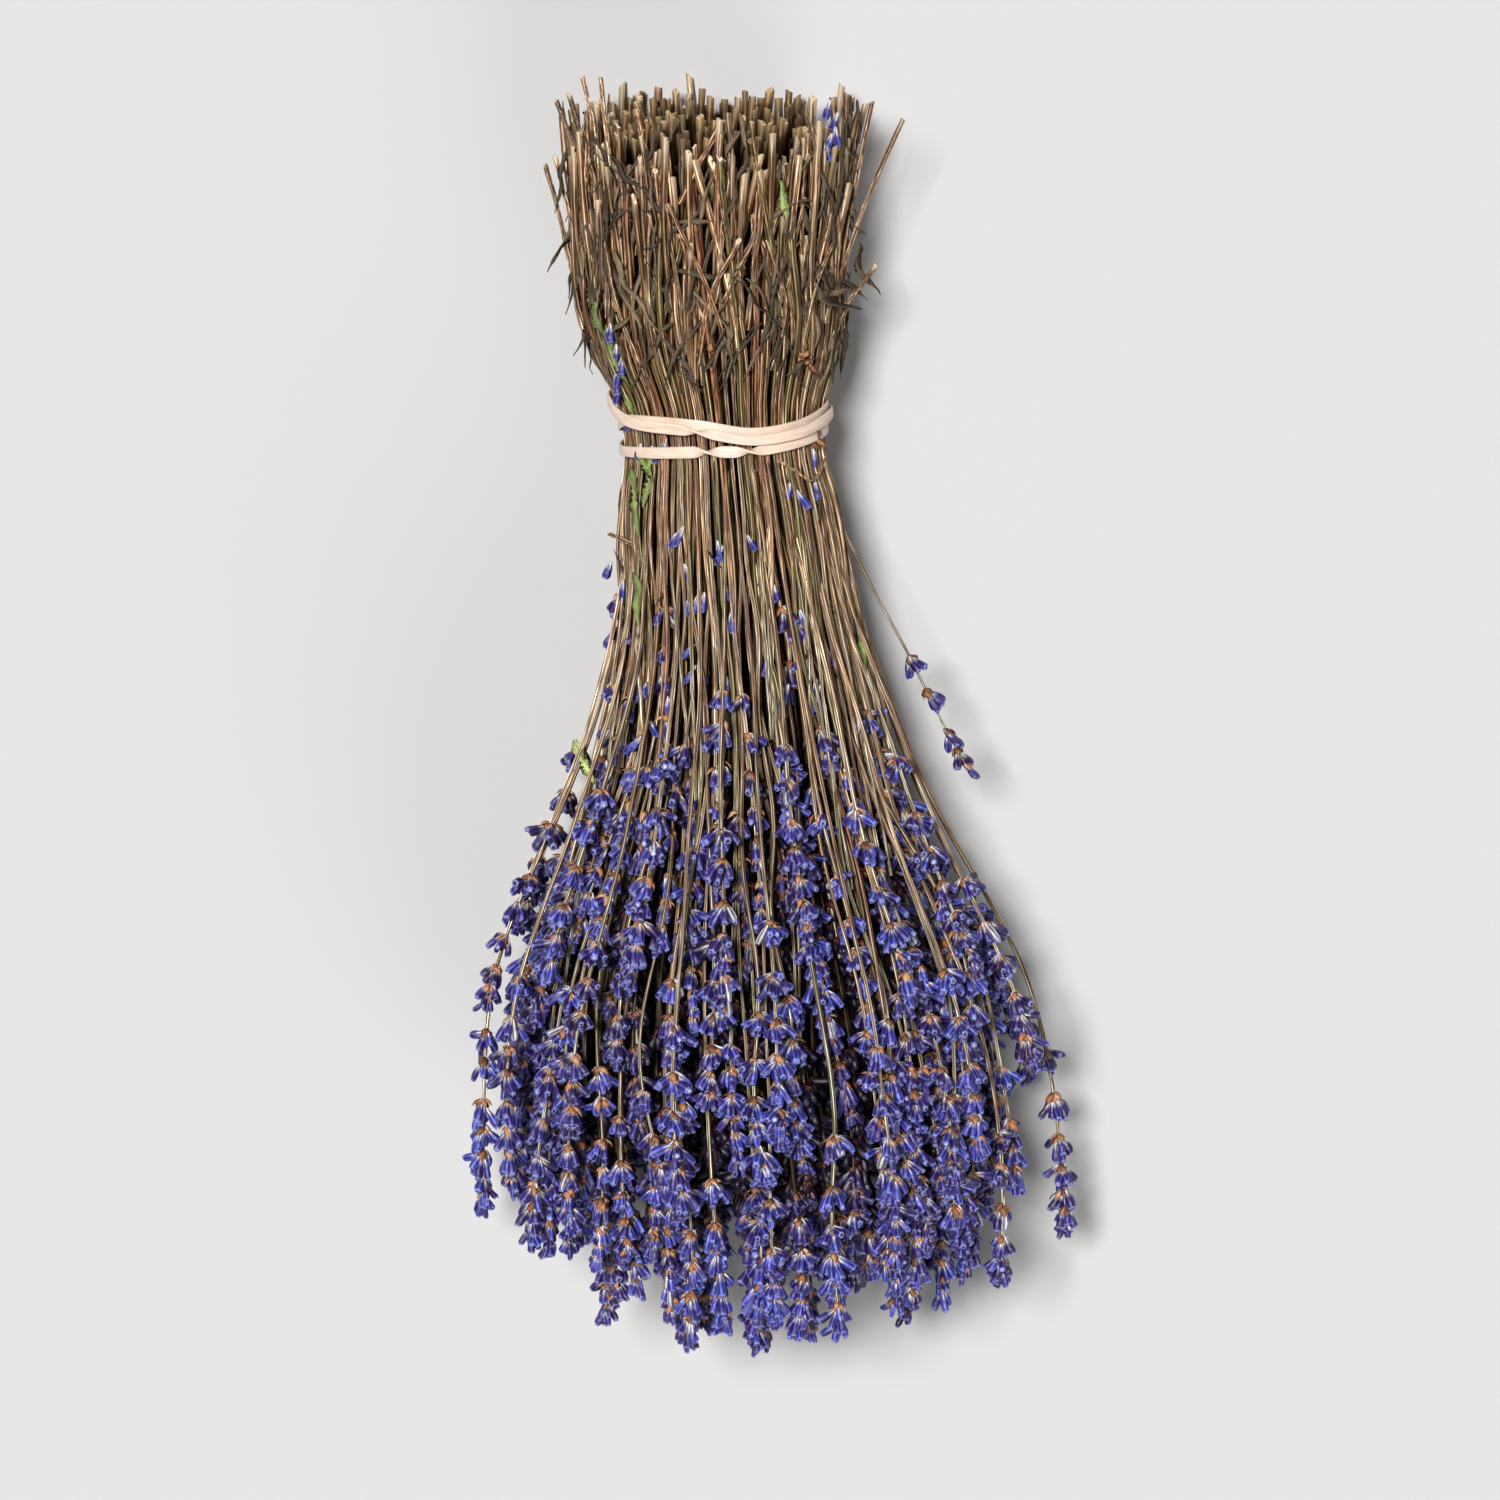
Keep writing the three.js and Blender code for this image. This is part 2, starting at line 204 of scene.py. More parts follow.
# Dark leaves that lie across the stems: from where to where, and how wide.
CROSSING_LEAVES = (
    ((-44, 141), (-32, 142), 1.6), ((-27, 138), (-11, 140), 1.5), ((-2, 139), (11, 145), 1.4),
    ((-26, 125), (-7, 127), 1.9), ((0, 131), (6, 134), 1.4), ((9, 125), (26, 113), 2.6),
    ((11, 127), (22, 120), 2.1), ((8, 122), (25, 119), 1.7), ((14, 128), (19, 110), 2.3),
    ((17, 124), (27, 116), 1.9), ((-50, 122), (-55, 100), 2.2), ((-47, 116), (-52, 97), 1.8),
    ((-52, 148), (-62, 124), 2.4), ((-45, 106), (-35, 116), 1.5), ((4, 97), (14, 101), 1.6),
    ((-19, 98), (-13, 112), 1.5), ((20, 142), (27, 134), 1.8), ((-51, 130), (-57, 112), 1.9),
    ((-57, 158), (-60, 140), 1.6), ((-12, 118), (-16, 104), 1.7), ((24, 132), (30, 118), 1.9),
)
# Crumpled papery scraps between the stems.
SCRAPS = ((9, 101), (10.5, 99), (-17, 103), (12, 78))
# Green blades, in the same way.
GREEN_BLADES = (
    ((-36.5, 76), (-32.5, 66)), ((-39, 70), (-36.5, 51)), ((-38, 42), (-35, 16)),
    ((-55, -6), (-50, -19)), ((25, 21), (27, 14)), ((-46, 110), (-39, 91)),
    ((-49, 116), (-47, 107)), ((-40, 90), (-37, 84)), ((-33, 75), (-35, 60)), ((2, 150), (5, 139)),
)
# Flowers caught between the stems.
FLORETS = (
    (-24.6, 54), (-15.1, 51), (-11.2, 40), (0, 39), (-0.6, 21), (-20.7, 24), (-20.4, 18),
    (-22.7, 35), (-18.8, 35), (6.2, 66), (-11.5, 32), (17.4, 22), (-42.5, 44), (-41, 38),
    (-43.7, 105), (-41, 102.5), (-42.5, 97), (-40, 93), (-44.5, 108), (-41.5, 99), (-41, 85),
    (-33, 79), (-30, 79.5), (-36, 77), (10.5, 72), (12, 66), (15, 160), (17, 164), (18, 168),
    (16, 171), (19, 165), (-29, 8), (-12, 14), (4, 10), (14, 12), (-34, 2), (-25, 44), (8, 30),
    (-5, 52),
)

# ---- light and camera ---------------------------------------------------------------------------

FLOOR_SIZE = 14
# The lamps: where each light comes from, how wide it seems, and how strong the second one is
# beside the first.
KEY_FROM, KEY_ANGLE = (-0.6, 0.7, 2.85), math.radians(15)
FILL_FROM, FILL_ANGLE, FILL_SHARE = (0.7, -1.1, 0.8), math.radians(40), 0.26
WARM_LIGHT, PALE_WALL = (1.0, 0.94, 0.90, 1), (0.79, 0.785, 0.78, 1)
# What the camera looks at, in millimetres in the frame's directions, and its sensor's width.
AIM = np.array((-5.88, -9.5, 45))
SENSOR_WIDTH = 36

# ---- settings that a user would change ----------------------------------------------------------


class StemSettings(PropertyGroup):
    """Sizes of the stems."""
    diameter: FloatProperty(
        name="Diameter", description="Thickness of a dried stem at the cut end",
        default=1.88 * MM, min=0.5 * MM, max=4 * MM, unit="LENGTH")
    loose: FloatProperty(
        name="Looseness", description="How far stems stray from their neighbours at the cut ends",
        default=0.085, min=0, max=0.3, subtype="FACTOR")
    sway: FloatProperty(
        name="Sway", description="How far a stem curves to and fro along its length",
        default=1.9 * MM, min=0, max=5 * MM, unit="LENGTH")


class FlowerSettings(PropertyGroup):
    """Sizes of the flower spikes."""
    calyx_length: FloatProperty(
        name="Calyx length", description="Length of one flower's ribbed tube",
        default=6.3 * MM, min=2 * MM, max=12 * MM, unit="LENGTH")
    calyx_diameter: FloatProperty(
        name="Calyx diameter", description="Widest part of one flower's tube",
        default=2.45 * MM, min=1 * MM, max=5 * MM, unit="LENGTH")
    per_whorl: IntProperty(
        name="Flowers per whorl", description="Flowers round the stem in a full whorl",
        default=11, min=3, max=14)
    opening: FloatProperty(
        name="Opening", description="Angle between the stem and the outer flowers of a whorl",
        default=math.radians(45), min=0, max=math.radians(90), subtype="ANGLE")
    spike_length: FloatProperty(
        name="Spike length", description="Usual length of a flower spike",
        default=52 * MM, min=15 * MM, max=90 * MM, unit="LENGTH")
    bract_length: FloatProperty(
        name="Bract length", description="Length of a papery bract under a whorl",
        default=3.4 * MM, min=1 * MM, max=8 * MM, unit="LENGTH")


class FinishSettings(PropertyGroup):
    """Colours of the materials."""
    stem: FloatVectorProperty(
        name="Stem", description="Usual colour of a dried stem",
        default=(0.165, 0.087, 0.040), subtype="COLOR", min=0, max=1)
    cut_end: FloatVectorProperty(
        name="Cut end", description="Colour of a stem's pale cut end",
        default=(0.78, 0.60, 0.40), subtype="COLOR", min=0, max=1)
    flower: FloatVectorProperty(
        name="Flower", description="Blue-violet of a dried calyx",
        default=(0.031, 0.020, 0.134), subtype="COLOR", min=0, max=1)
    flower_base: FloatVectorProperty(
        name="Flower base", description="Greyish base of a calyx",
        default=(0.62, 0.55, 0.52), subtype="COLOR", min=0, max=1)
    bract: FloatVectorProperty(
        name="Bract", description="Rusty colour of the papery bracts",
        default=(0.29, 0.094, 0.030), subtype="COLOR", min=0, max=1)
    leaf: FloatVectorProperty(
        name="Dried leaf", description="Colour of a shrivelled leaf",
        default=(0.078, 0.055, 0.030), subtype="COLOR", min=0, max=1)
    green: FloatVectorProperty(
        name="Green leaf", description="Colour of a blade that is still green",
        default=(0.215, 0.275, 0.078), subtype="COLOR", min=0, max=1)
    latex: FloatVectorProperty(
        name="Rubber band", description="Cream of the natural rubber",
        default=(0.67, 0.52, 0.415), subtype="COLOR", min=0, max=1)


class StageSettings(PropertyGroup):
    """Floor, light and camera."""
    floor: FloatVectorProperty(
        name="Floor", description="Colour of the pale floor",
        default=(0.455, 0.449, 0.444), subtype="COLOR", min=0, max=1)
    key_strength: FloatProperty(
        name="Key light", description="Strength of the soft light from above", default=4.95, min=0)
    fill: FloatProperty(
        name="Fill", description="Strength of the light from all round", default=0.05, min=0)
    tilt: FloatProperty(
        name="Camera tilt", description="How far the camera leans towards the cut ends",
        default=math.radians(8), subtype="ANGLE")
    distance: FloatProperty(
        name="Camera distance", description="From the camera to the middle of the bunch",
        default=1.7, min=0.3, unit="LENGTH")
    view_width: FloatProperty(
        name="View width", description="Width that the picture takes in at the bunch's middle",
        default=0.42, min=0.05, unit="LENGTH")


class LavenderSettings(PropertyGroup):
    """Everything that a user would change."""
    stems: PointerProperty(type=StemSettings)
    flowers: PointerProperty(type=FlowerSettings)
    finish: PointerProperty(type=FinishSettings)
    stage: PointerProperty(type=StageSettings)


# ---- the outline as a smooth function of Y ------------------------------------------------------

def smooth(start, end, value):
    """0 before start, 1 past end, and an even turn between them."""
    share = np.clip((value - start) / (end - start), 0, 1)
    return share * share * (3 - 2 * share)


def curve_at(knots, values, at):
    """The values at some places on the smooth curve through the knots."""
    steps = np.diff(values, axis=0) / np.diff(knots)[:, None]
    slopes = np.concatenate([steps[:1], (steps[:-1] + steps[1:]) / 2, steps[-1:]])
    at = np.clip(at, knots[0], knots[-1])
    i = np.clip(np.searchsorted(knots, at, side="right") - 1, 0, len(knots) - 2)
    width = (knots[i + 1] - knots[i])[..., None]
    p = (at - knots[i])[..., None] / width
    found = (
        (1 + 2 * p) * (1 - p) ** 2 * values[i]
        + p * (1 - p) ** 2 * width * slopes[i]
        + p * p * (3 - 2 * p) * values[i + 1]
        + p * p * (p - 1) * width * slopes[i + 1]
    )
    return np.moveaxis(found, -1, 0)


def outline_at(y):
    """The outline's five numbers at y."""
    found = curve_at(OUTLINE[:, 0], OUTLINE[:, 1:], y)
    found[4] = np.minimum(found[4], 1)
    return found


def place(a, b, y):
    """A point of the bunch from its shares of the half width and half height."""
    a, b, y = np.broadcast_arrays(*map(np.asarray, (a, b, y)))
    mid_x, half_width, mid_z, half_height, kept = outline_at(y.astype(float))
    room = np.sqrt(np.maximum(1 - a * a, LEAST_ROOM))
    pressed = np.where(b < 0, np.minimum(1, kept / room), 1)
    return np.stack([mid_x + a * half_width, y, mid_z + b * pressed * half_height], -1)


def shares_of(points):
    """The shares of the half width and half height at which points lie: place, turned round."""
    mid_x, half_width, mid_z, half_height, kept = outline_at(points[..., 1])
    a = (points[..., 0] - mid_x) / half_width
    b = (points[..., 2] - mid_z) / half_height
    room = np.sqrt(np.maximum(1 - a * a, LEAST_ROOM))
    return np.stack([a, np.where(b < 0, b / np.minimum(1, kept / room), b)], -1)


def on_surface(side, y, lift):
    """A point that lies lift millimetres outside the handfuls, on the side given in radians."""
    side, y, lift = np.broadcast_arrays(*(np.asarray(value, float) for value in (side, y, lift)))
    edge = place(OUTER_EDGE * np.cos(side), OUTER_EDGE * np.sin(side), y)
    _, half_width, _, half_height, _ = outline_at(y)
    out = unit(np.stack([np.cos(side) * half_height, 0 * y, np.sin(side) * half_width], -1))
    return edge + out * lift[..., None]


def spring(y):
    """How much the stems stand out of their outline at y, as a share: most close to the band."""
    beside = abs(y - NECK_Y)
    return SPRING * smooth(*SPRING_BEGINS, beside) * (1 - smooth(*SPRING_ENDS, beside))


def outermost(y):
    """The share of the outline at which the outermost stems lie at y."""
    drawn_in = CUT_DRAWN_IN * smooth(CUT_FROM, CUT_TO, y)
    drawn_in = drawn_in + HEAD_DRAWN_IN * smooth(HEAD_FROM, HEAD_TO, y)
    return OUTER_LAYER_SHARE * (1 - drawn_in) * (1 + spring(y))


def on_stems(side, y, lift):
    """A point lift millimetres over the middles of the outermost stems."""
    _, _, _, half_height, _ = outline_at(y)
    return on_surface(side, y, lift + (outermost(y) - OUTER_EDGE) * half_height)


def on_top(x, y, lift):
    """A point lift millimetres over the upper side of the stems."""
    x, y, lift = np.broadcast_arrays(*(np.asarray(value, float) for value in (x, y, lift)))
    mid_x, half_width, mid_z, half_height, _ = outline_at(y)
    reach = outermost(y) + STEM_RADIUS / half_width
    a = (x - mid_x) / (half_width * reach)
    z = mid_z + np.sqrt(np.maximum(1 - a * a, LEAST_RISE)) * half_height * reach
    return np.stack([x, y, z + lift], -1)


def band_path(turn):
    """Where the rubber band's middle is along Y and in which layer, at a turn in degrees."""
    full = 360 * BAND_TURNS
    path = np.concatenate([
        BAND_PATH[-2:] - (full, 0, 0), BAND_PATH, BAND_PATH[:2] + (full, 0, 0)])
    return curve_at(path[:, 0], path[:, 1:], turn)


def band_points(turn, corner_along, corner_out):
    """Points of the rubber band at a turn in degrees, and off its middle line."""
    y, layer = band_path(turn)
    angle = math.pi - np.radians(turn)
    mid_x, half_width, mid_z, half_height, _ = outline_at(y)
    lowest = 2 * STEM_RADIUS + 2 * GAP + BAND_THICKNESS / 2
    rise = lowest + layer * (BAND_THICKNESS + GAP) + corner_out
    return np.stack([
        mid_x + np.cos(angle) * (OUTER_EDGE * half_width + rise),
        y + corner_along,
        mid_z + np.sin(angle) * (OUTER_EDGE * half_height + rise),
    ], -1)


def frame_shift():
    """How far the frame's solids are moved from the outline's own origin, in millimetres."""
    turn = np.arange(BAND_STEPS) / BAND_STEPS * 360 * BAND_TURNS
    corners = np.arange(BAND_SIDES) / BAND_SIDES * 2 * math.pi
    points = np.concatenate([
        band_points(turn, BAND_WIDTH / 2 * math.sin(c), BAND_THICKNESS / 2 * math.cos(c))
        for c in corners
    ])
    middle = (points.min(0) + points.max(0)) / 2
    low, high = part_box("rubber_band")
    found = (np.array(low) + np.array(high)) / 2 / MM
    return np.array((found[0] - middle[0], found[1] - middle[1], 0))


# ---- closed skins -------------------------------------------------------------------------------

# Where each kind of skin goes in the OFBake map: left edge, width, columns and rows.
STEM_TILES = (0.0, 0.47, 1, 40)
CALYX_TILES = (0.48, 0.28, 4, 12)
BRACT_TILES = (0.77, 0.11, 2, 12)
LEAF_TILES = (0.89, 0.11, 1, 16)
BAND_TILES = (0.0, 1.0, 1, 1)
TILE_MARGIN = 0.05
# The stem tiles that are kept for stems without a place in a handful.
STRAY_TILES = (24, 40)
# Steps of painted shade, each with its own calyx and bract tiles.
DEPTHS = 3
STEM, CALYX, BRACT, LEAF, GREEN = range(5)


def tiles_in(tiles):
    """How many tiles there are of a kind."""
    return tiles[2] * tiles[3]


def step_of(shares, steps):
    """Which of some even steps each share from 0 to 1 falls in."""
    return np.clip((shares * steps).astype(int), 0, steps - 1)


def unit(v):
    """v at length 1."""
    return v / np.maximum(np.linalg.norm(v, axis=-1, keepdims=True), 1e-9)


def across(direction, hint):
    """Two directions square to this one and to each other, the first as near hint as can be."""
    first = unit(hint - (hint * direction).sum(-1, keepdims=True) * direction)
    return first, np.cross(direction, first)


class Skin:
    """Gathers closed skins and turns them into one mesh."""

    def __init__(self):
        self.points, self.corners, self.sizes = [], [], []
        self.grain, self.atlas, self.tone, self.depth = [], [], [], []
        self.finish, self.flat = [], []
        self.count = 0

    def loft(self, rings, along, tiles, spot, tone, depth, finish, closed=False):
        """Skins over rings of points, of shape (skins, rings, sides, 3), ends capped unless closed.

        along says how far each ring is along the grain, with one more number before and after for
        the middles of the caps. spot is the number of the tile that each skin goes to.
        """
        n, count, sides = rings.shape[:3]
        spot, tone, depth = (np.broadcast_to(value, (n,)) for value in (spot, tone, depth))
        points = rings.reshape(n, count * sides, 3)
        ends = np.stack([rings[:, 0].mean(1), rings[:, -1].mean(1)], 1)
        if not closed:
            points = np.concatenate([points, ends], 1)
        corners, sizes, ring_of, side_of = [], [], [], []
        for ring in range(count if closed else count - 1):
            after = (ring + 1) % count
            for side in range(sides):
                turned = (side + 1) % sides
                corners += [ring * sides + side, ring * sides + turned,
                            after * sides + turned, after * sides + side]
                ring_of += [ring + 1, ring + 1, ring + 2, ring + 2]
                side_of += [side, side + 1, side + 1, side]
                sizes.append(4)
        quads = len(sizes)
        if not closed:
            last = (count - 1) * sides
            for side in range(sides):
                turned = (side + 1) % sides
                corners += [count * sides, turned, side]
                corners += [count * sides + 1, last + side, last + turned]
                ring_of += [0, 1, 1, count + 1, count, count]
                side_of += [side + 0.5, side + 1, side, side + 0.5, side, side + 1]
                sizes += [3, 3]
        grain = np.stack([np.asarray(along)[..., ring_of] + np.zeros((n, 1)),
                          np.broadcast_to(np.array(side_of) / sides, (n, len(side_of)))], -1)
        left, width, columns, rows = tiles
        inset = TILE_MARGIN + (1 - 2 * TILE_MARGIN) * grain
        u = left + width * ((spot % columns)[:, None] + inset[..., 0]) / columns
        v = ((spot // columns % rows)[:, None] + inset[..., 1]) / rows
        self.points.append(points.reshape(-1, 3))
        self.corners.append((np.array(corners)[None] + self.count
                             + np.arange(n)[:, None] * points.shape[1]).ravel())
        self.sizes.append(np.tile(sizes, n))
        self.grain.append(grain.reshape(-1, 2))
        self.atlas.append(np.stack([u, v], -1).reshape(-1, 2))
        self.tone.append(np.repeat(tone, points.shape[1]))
        self.depth.append(np.repeat(depth, points.shape[1]))
        self.finish.append(np.full(len(sizes) * n, finish))
        self.flat.append(np.tile(np.arange(len(sizes)) >= quads, n))
        self.count += len(self.points[-1])

    def build(self, title, shift, materials):
        """The gathered skins as one object, in metres."""
        points = np.concatenate(self.points) + shift
        low = points[:, 2] < PRESSED_DEPTH
        points[low, 2] = PRESSED_DEPTH * np.exp((points[low, 2] - PRESSED_DEPTH) / PRESSED_DEPTH)
        corners, sizes = np.concatenate(self.corners), np.concatenate(self.sizes)
        mesh = bpy.data.meshes.new(title)
        mesh.vertices.add(len(points))
        mesh.vertices.foreach_set("co", (points * MM).astype(np.float32).ravel())
        mesh.loops.add(len(corners))
        mesh.loops.foreach_set("vertex_index", corners.astype(np.int32))
        mesh.polygons.add(len(sizes))
        starts = np.concatenate([[0], np.cumsum(sizes)[:-1]])
        mesh.polygons.foreach_set("loop_start", starts.astype(np.int32))
        mesh.polygons.foreach_set("material_index", np.concatenate(self.finish).astype(np.int32))
        mesh.update(calc_edges=True)
        mesh.polygons.foreach_set("use_smooth", ~np.concatenate(self.flat))
        for name, values in (("OFBake", self.atlas), ("Grain", self.grain)):
            uv = mesh.uv_layers.new(name=name, do_init=False).uv
            uv.foreach_set("vector", np.concatenate(values).astype(np.float32).ravel())
        for name, values in (("tone", self.tone), ("depth", self.depth)):
            made = mesh.attributes.new(name, "FLOAT", "POINT")
            made.data.foreach_set("value", np.concatenate(values).astype(np.float32))
        for material in materials:
            mesh.materials.append(material)
        piece = bpy.data.objects.new(title, mesh)
        bpy.context.scene.collection.objects.link(piece)
        return piece


# ---- one part of the plant at a time ------------------------------------------------------------

# A stem's section: corners and flat sides by turns, as shares of its radius.
SQUARE = np.array((1.16, 0.74) * 4)
STEM_SPACING = 5.0
STEM_TWIST, CUT_TILT = 2.5, 0.55
# Along a stem's grain: the middle, the inner edge and the rim of its cut end, and where its side
# begins. The pith and the cut face reach up to the next two.
CUT_GRAIN, SIDE_GRAIN = (0.0, 0.006, 0.012), 0.02
PITH_GRAIN, FACE_GRAIN = 0.0045, 0.0115


def tube(path, radius, profile, twist=0.0):
    """Rings round a path. The profile says how far each side lies out, as a share of the radius."""
    along = unit(np.gradient(path, axis=0))
    first, second = across(along, np.array((1.0, 0, 0.2)))
    turn = np.arange(len(profile)) / len(profile) * 2 * math.pi
    turn = turn[None] + np.linspace(0, twist, len(path))[:, None]
    reach = np.broadcast_to(radius, (len(path),))[:, None] * profile
    return (path[:, None] + (reach * np.cos(turn))[..., None] * first[:, None]
            + (reach * np.sin(turn))[..., None] * second[:, None])


def grow_stem(skin, rng, path, radius, along, spot, tone, depth):
    """A ribbed square stem along its path, from its cut end, with a slanted pale end face."""
    sides = len(SQUARE)
    profile = SQUARE * rng.uniform(0.95, 1.05, sides)
    rings = tube(path, radius, profile, rng.uniform(-STEM_TWIST, STEM_TWIST))
    turn = np.arange(sides) / sides * 2 * math.pi
    slant = rng.normal(0, CUT_TILT) * np.cos(turn + rng.uniform(0, 6))
    rings[0] += unit(path[0] - path[1]) * slant[:, None]
    middle = rings[0].mean(0)
    rings = np.concatenate([(middle + (rings[0] - middle) * 0.6)[None], rings])
    along = np.concatenate([CUT_GRAIN, SIDE_GRAIN + 0.97 * along[1:], [1.0]])
    skin.loft(rings[None], along, STEM_TILES, spot, tone, depth, STEM)


# A calyx from base to mouth: how far along its length, how wide, and how far along the grain.
CALYX_RINGS = np.array((
    (0.00, 0.30, 0.04), (0.16, 0.54, 0.14), (0.38, 0.86, 0.32), (0.64, 1.05, 0.54),
    (0.86, 1.00, 0.73), (0.97, 0.74, 0.83), (1.00, 0.48, 0.90), (0.93, 0.30, 0.95),
))
PLAIN_CALYX_RINGS = CALYX_RINGS[[0, 2, 3, 5, 6]]
# How many sides a calyx has: on the outside of the bunch, under it, and inside.
FINE_SIDES, MIDDLE_SIDES, PLAIN_SIDES = 10, 8, 6


def grow_calyces(skin, rng, flowers, sides):
    """Ribbed flower tubes. Each has a base, a direction, the way it bends, a length and so on."""
    base, direction, inward = flowers["base"], flowers["direction"], flowers["inward"]
    length, radius = flowers["length"], flowers["radius"]
    n = len(base)
    t, wide, grain = (CALYX_RINGS if sides > PLAIN_SIDES else PLAIN_CALYX_RINGS).T
    first, second = across(direction, inward)
    bend = rng.uniform(-0.16, 0.28, n)
    t = t + np.zeros((n, 1))
    middle = (base[:, None] + (length[:, None] * t)[..., None] * direction[:, None]
              + (length * bend)[:, None, None] * (t * t)[..., None] * first[:, None])
    turn = np.arange(sides) / sides * 2 * math.pi
    ribs = 1 + 0.08 * np.where(np.arange(sides) % 2, -1, 1)
    dried = rng.uniform(0.88, 1.1, (n, len(wide), 1)) * rng.uniform(0.93, 1.07, (n, 1, sides))
    reach = radius[:, None, None] * wide[None, :, None] * ribs * dried
    flat = rng.uniform(0.74, 1.0, n)[:, None, None]
    rings = (middle[:, :, None] + (reach * np.cos(turn))[..., None] * first[:, None, None]
             + (reach * flat * np.sin(turn))[..., None] * second[:, None, None])
    uneven = rng.uniform(-0.05, 0.05, (n, 1, sides)) * length[:, None, None]
    rings[:, -3:-1] += uneven[..., None] * direction[:, None, None]
    tones = tiles_in(CALYX_TILES) // DEPTHS
    tone, deep = step_of(flowers["tone"], tones), step_of(flowers["depth"], DEPTHS)
    along = np.concatenate([[0.0], grain, [1.0]])
    skin.loft(rings, along, CALYX_TILES, deep * tones + tone, (tone + 0.5) / tones,
              deep / (DEPTHS - 1), CALYX)


# A bract from base to point: how far along, how wide, how far it stands out of a straight line.
BRACT_RINGS = np.array((
    (0.0, 0.42, 0.0), (0.3, 0.95, 0.08), (0.62, 0.9, 0.09), (1.0, 0.07, -0.12),
))
BRACT_THICKNESS, LEAF_THICKNESS = 0.08, 0.13


def grow_bracts(skin, rng, bracts):
    """Papery pointed scales, cupped round the foot of a whorl."""
    base, direction, length = bracts["base"], bracts["direction"], bracts["length"]
    n = len(base)
    t, wide, bow = BRACT_RINGS.T
    first, second = across(direction, bracts["inward"])
    bow = bow[None] * rng.uniform(0.6, 1.8, (n, 1)) + rng.uniform(-0.35, 0.25, (n, 1)) * t * t
    middle = (base[:, None] + (length[:, None] * t)[..., None] * direction[:, None]
              + (length[:, None] * bow)[..., None] * first[:, None])
    half = (bracts["radius"][:, None] * wide)[..., None]
    cup = half * rng.uniform(0.25, 0.7, (n, 1, 1))
    thick = BRACT_THICKNESS * np.minimum(1, 4 * wide)[:, None]
    left = middle - second[:, None] * half - first[:, None] * cup
    right = middle + second[:, None] * half - first[:, None] * cup
    over, under = middle + first[:, None] * thick, middle - first[:, None] * thick
    kinds = tiles_in(BRACT_TILES) // DEPTHS
    kind, deep = rng.integers(0, kinds, n), step_of(bracts["depth"], DEPTHS)
    along = np.concatenate([[0.0], 0.05 + 0.9 * t, [1.0]])
    skin.loft(np.stack([over, right, under, left], 2), along, BRACT_TILES, deep * kinds + kind,
              (kind + 0.5) / kinds, deep / (DEPTHS - 1), BRACT)


def grow_leaf(skin, rng, path, width, finish=LEAF):
    """A thin shrivelled leaf or blade along a path, curling about it."""
    s = np.linspace(0, 1, len(path))
    along = unit(np.gradient(path, axis=0))
    first, second = across(along, np.array((0.1, 0.2, 1.0)))
    curl = 1.0 if finish == GREEN else 2.2
    roll = rng.uniform(-curl, curl) * s + 0.6 * np.sin(s * rng.uniform(4, 11) + rng.uniform(0, 6))
    up = first * np.cos(roll)[:, None] + second * np.sin(roll)[:, None]
    side = np.cross(along, up)
    taper = np.sqrt(np.clip(s * 6 + 0.1, 0, 1)) * np.clip((1 - s) * 2.6, 0.06, 1) ** 0.7
    half = (width / 2 * taper * rng.uniform(0.7, 1.2, len(path)))[:, None]
    cup = half * rng.uniform(0.2, 0.9)
    thick = up * LEAF_THICKNESS
    rings = np.stack([path + thick, path + side * half + up * cup,
                      path - thick, path - side * half + up * cup], 1)
    spot = int(rng.integers(0, tiles_in(LEAF_TILES) // 2)) * 2 + (finish == GREEN)
    grain = np.concatenate([[0.0], 0.02 + 0.96 * s, [1.0]])
    skin.loft(rings[None], grain, LEAF_TILES, spot, (spot + 0.5) / tiles_in(LEAF_TILES), 0, finish)


# ---- sprigs -------------------------------------------------------------------------------------

def swaying(rng, size):
    """A smooth wander across Y, of about this many millimetres."""
    waves = rng.uniform(45, 170, 3)
    phases = rng.uniform(0, 2 * math.pi, (3, 2))
    sizes = rng.normal(0, size / 2, (3, 2)) * (waves / 120)[:, None]

    def sway(y):
        angle = y[:, None, None] / waves[:, None] * 2 * math.pi + phases
        x, z = (sizes * np.sin(angle)).sum(1).T
        return np.stack([x, 0 * x, z], -1)
    return sway


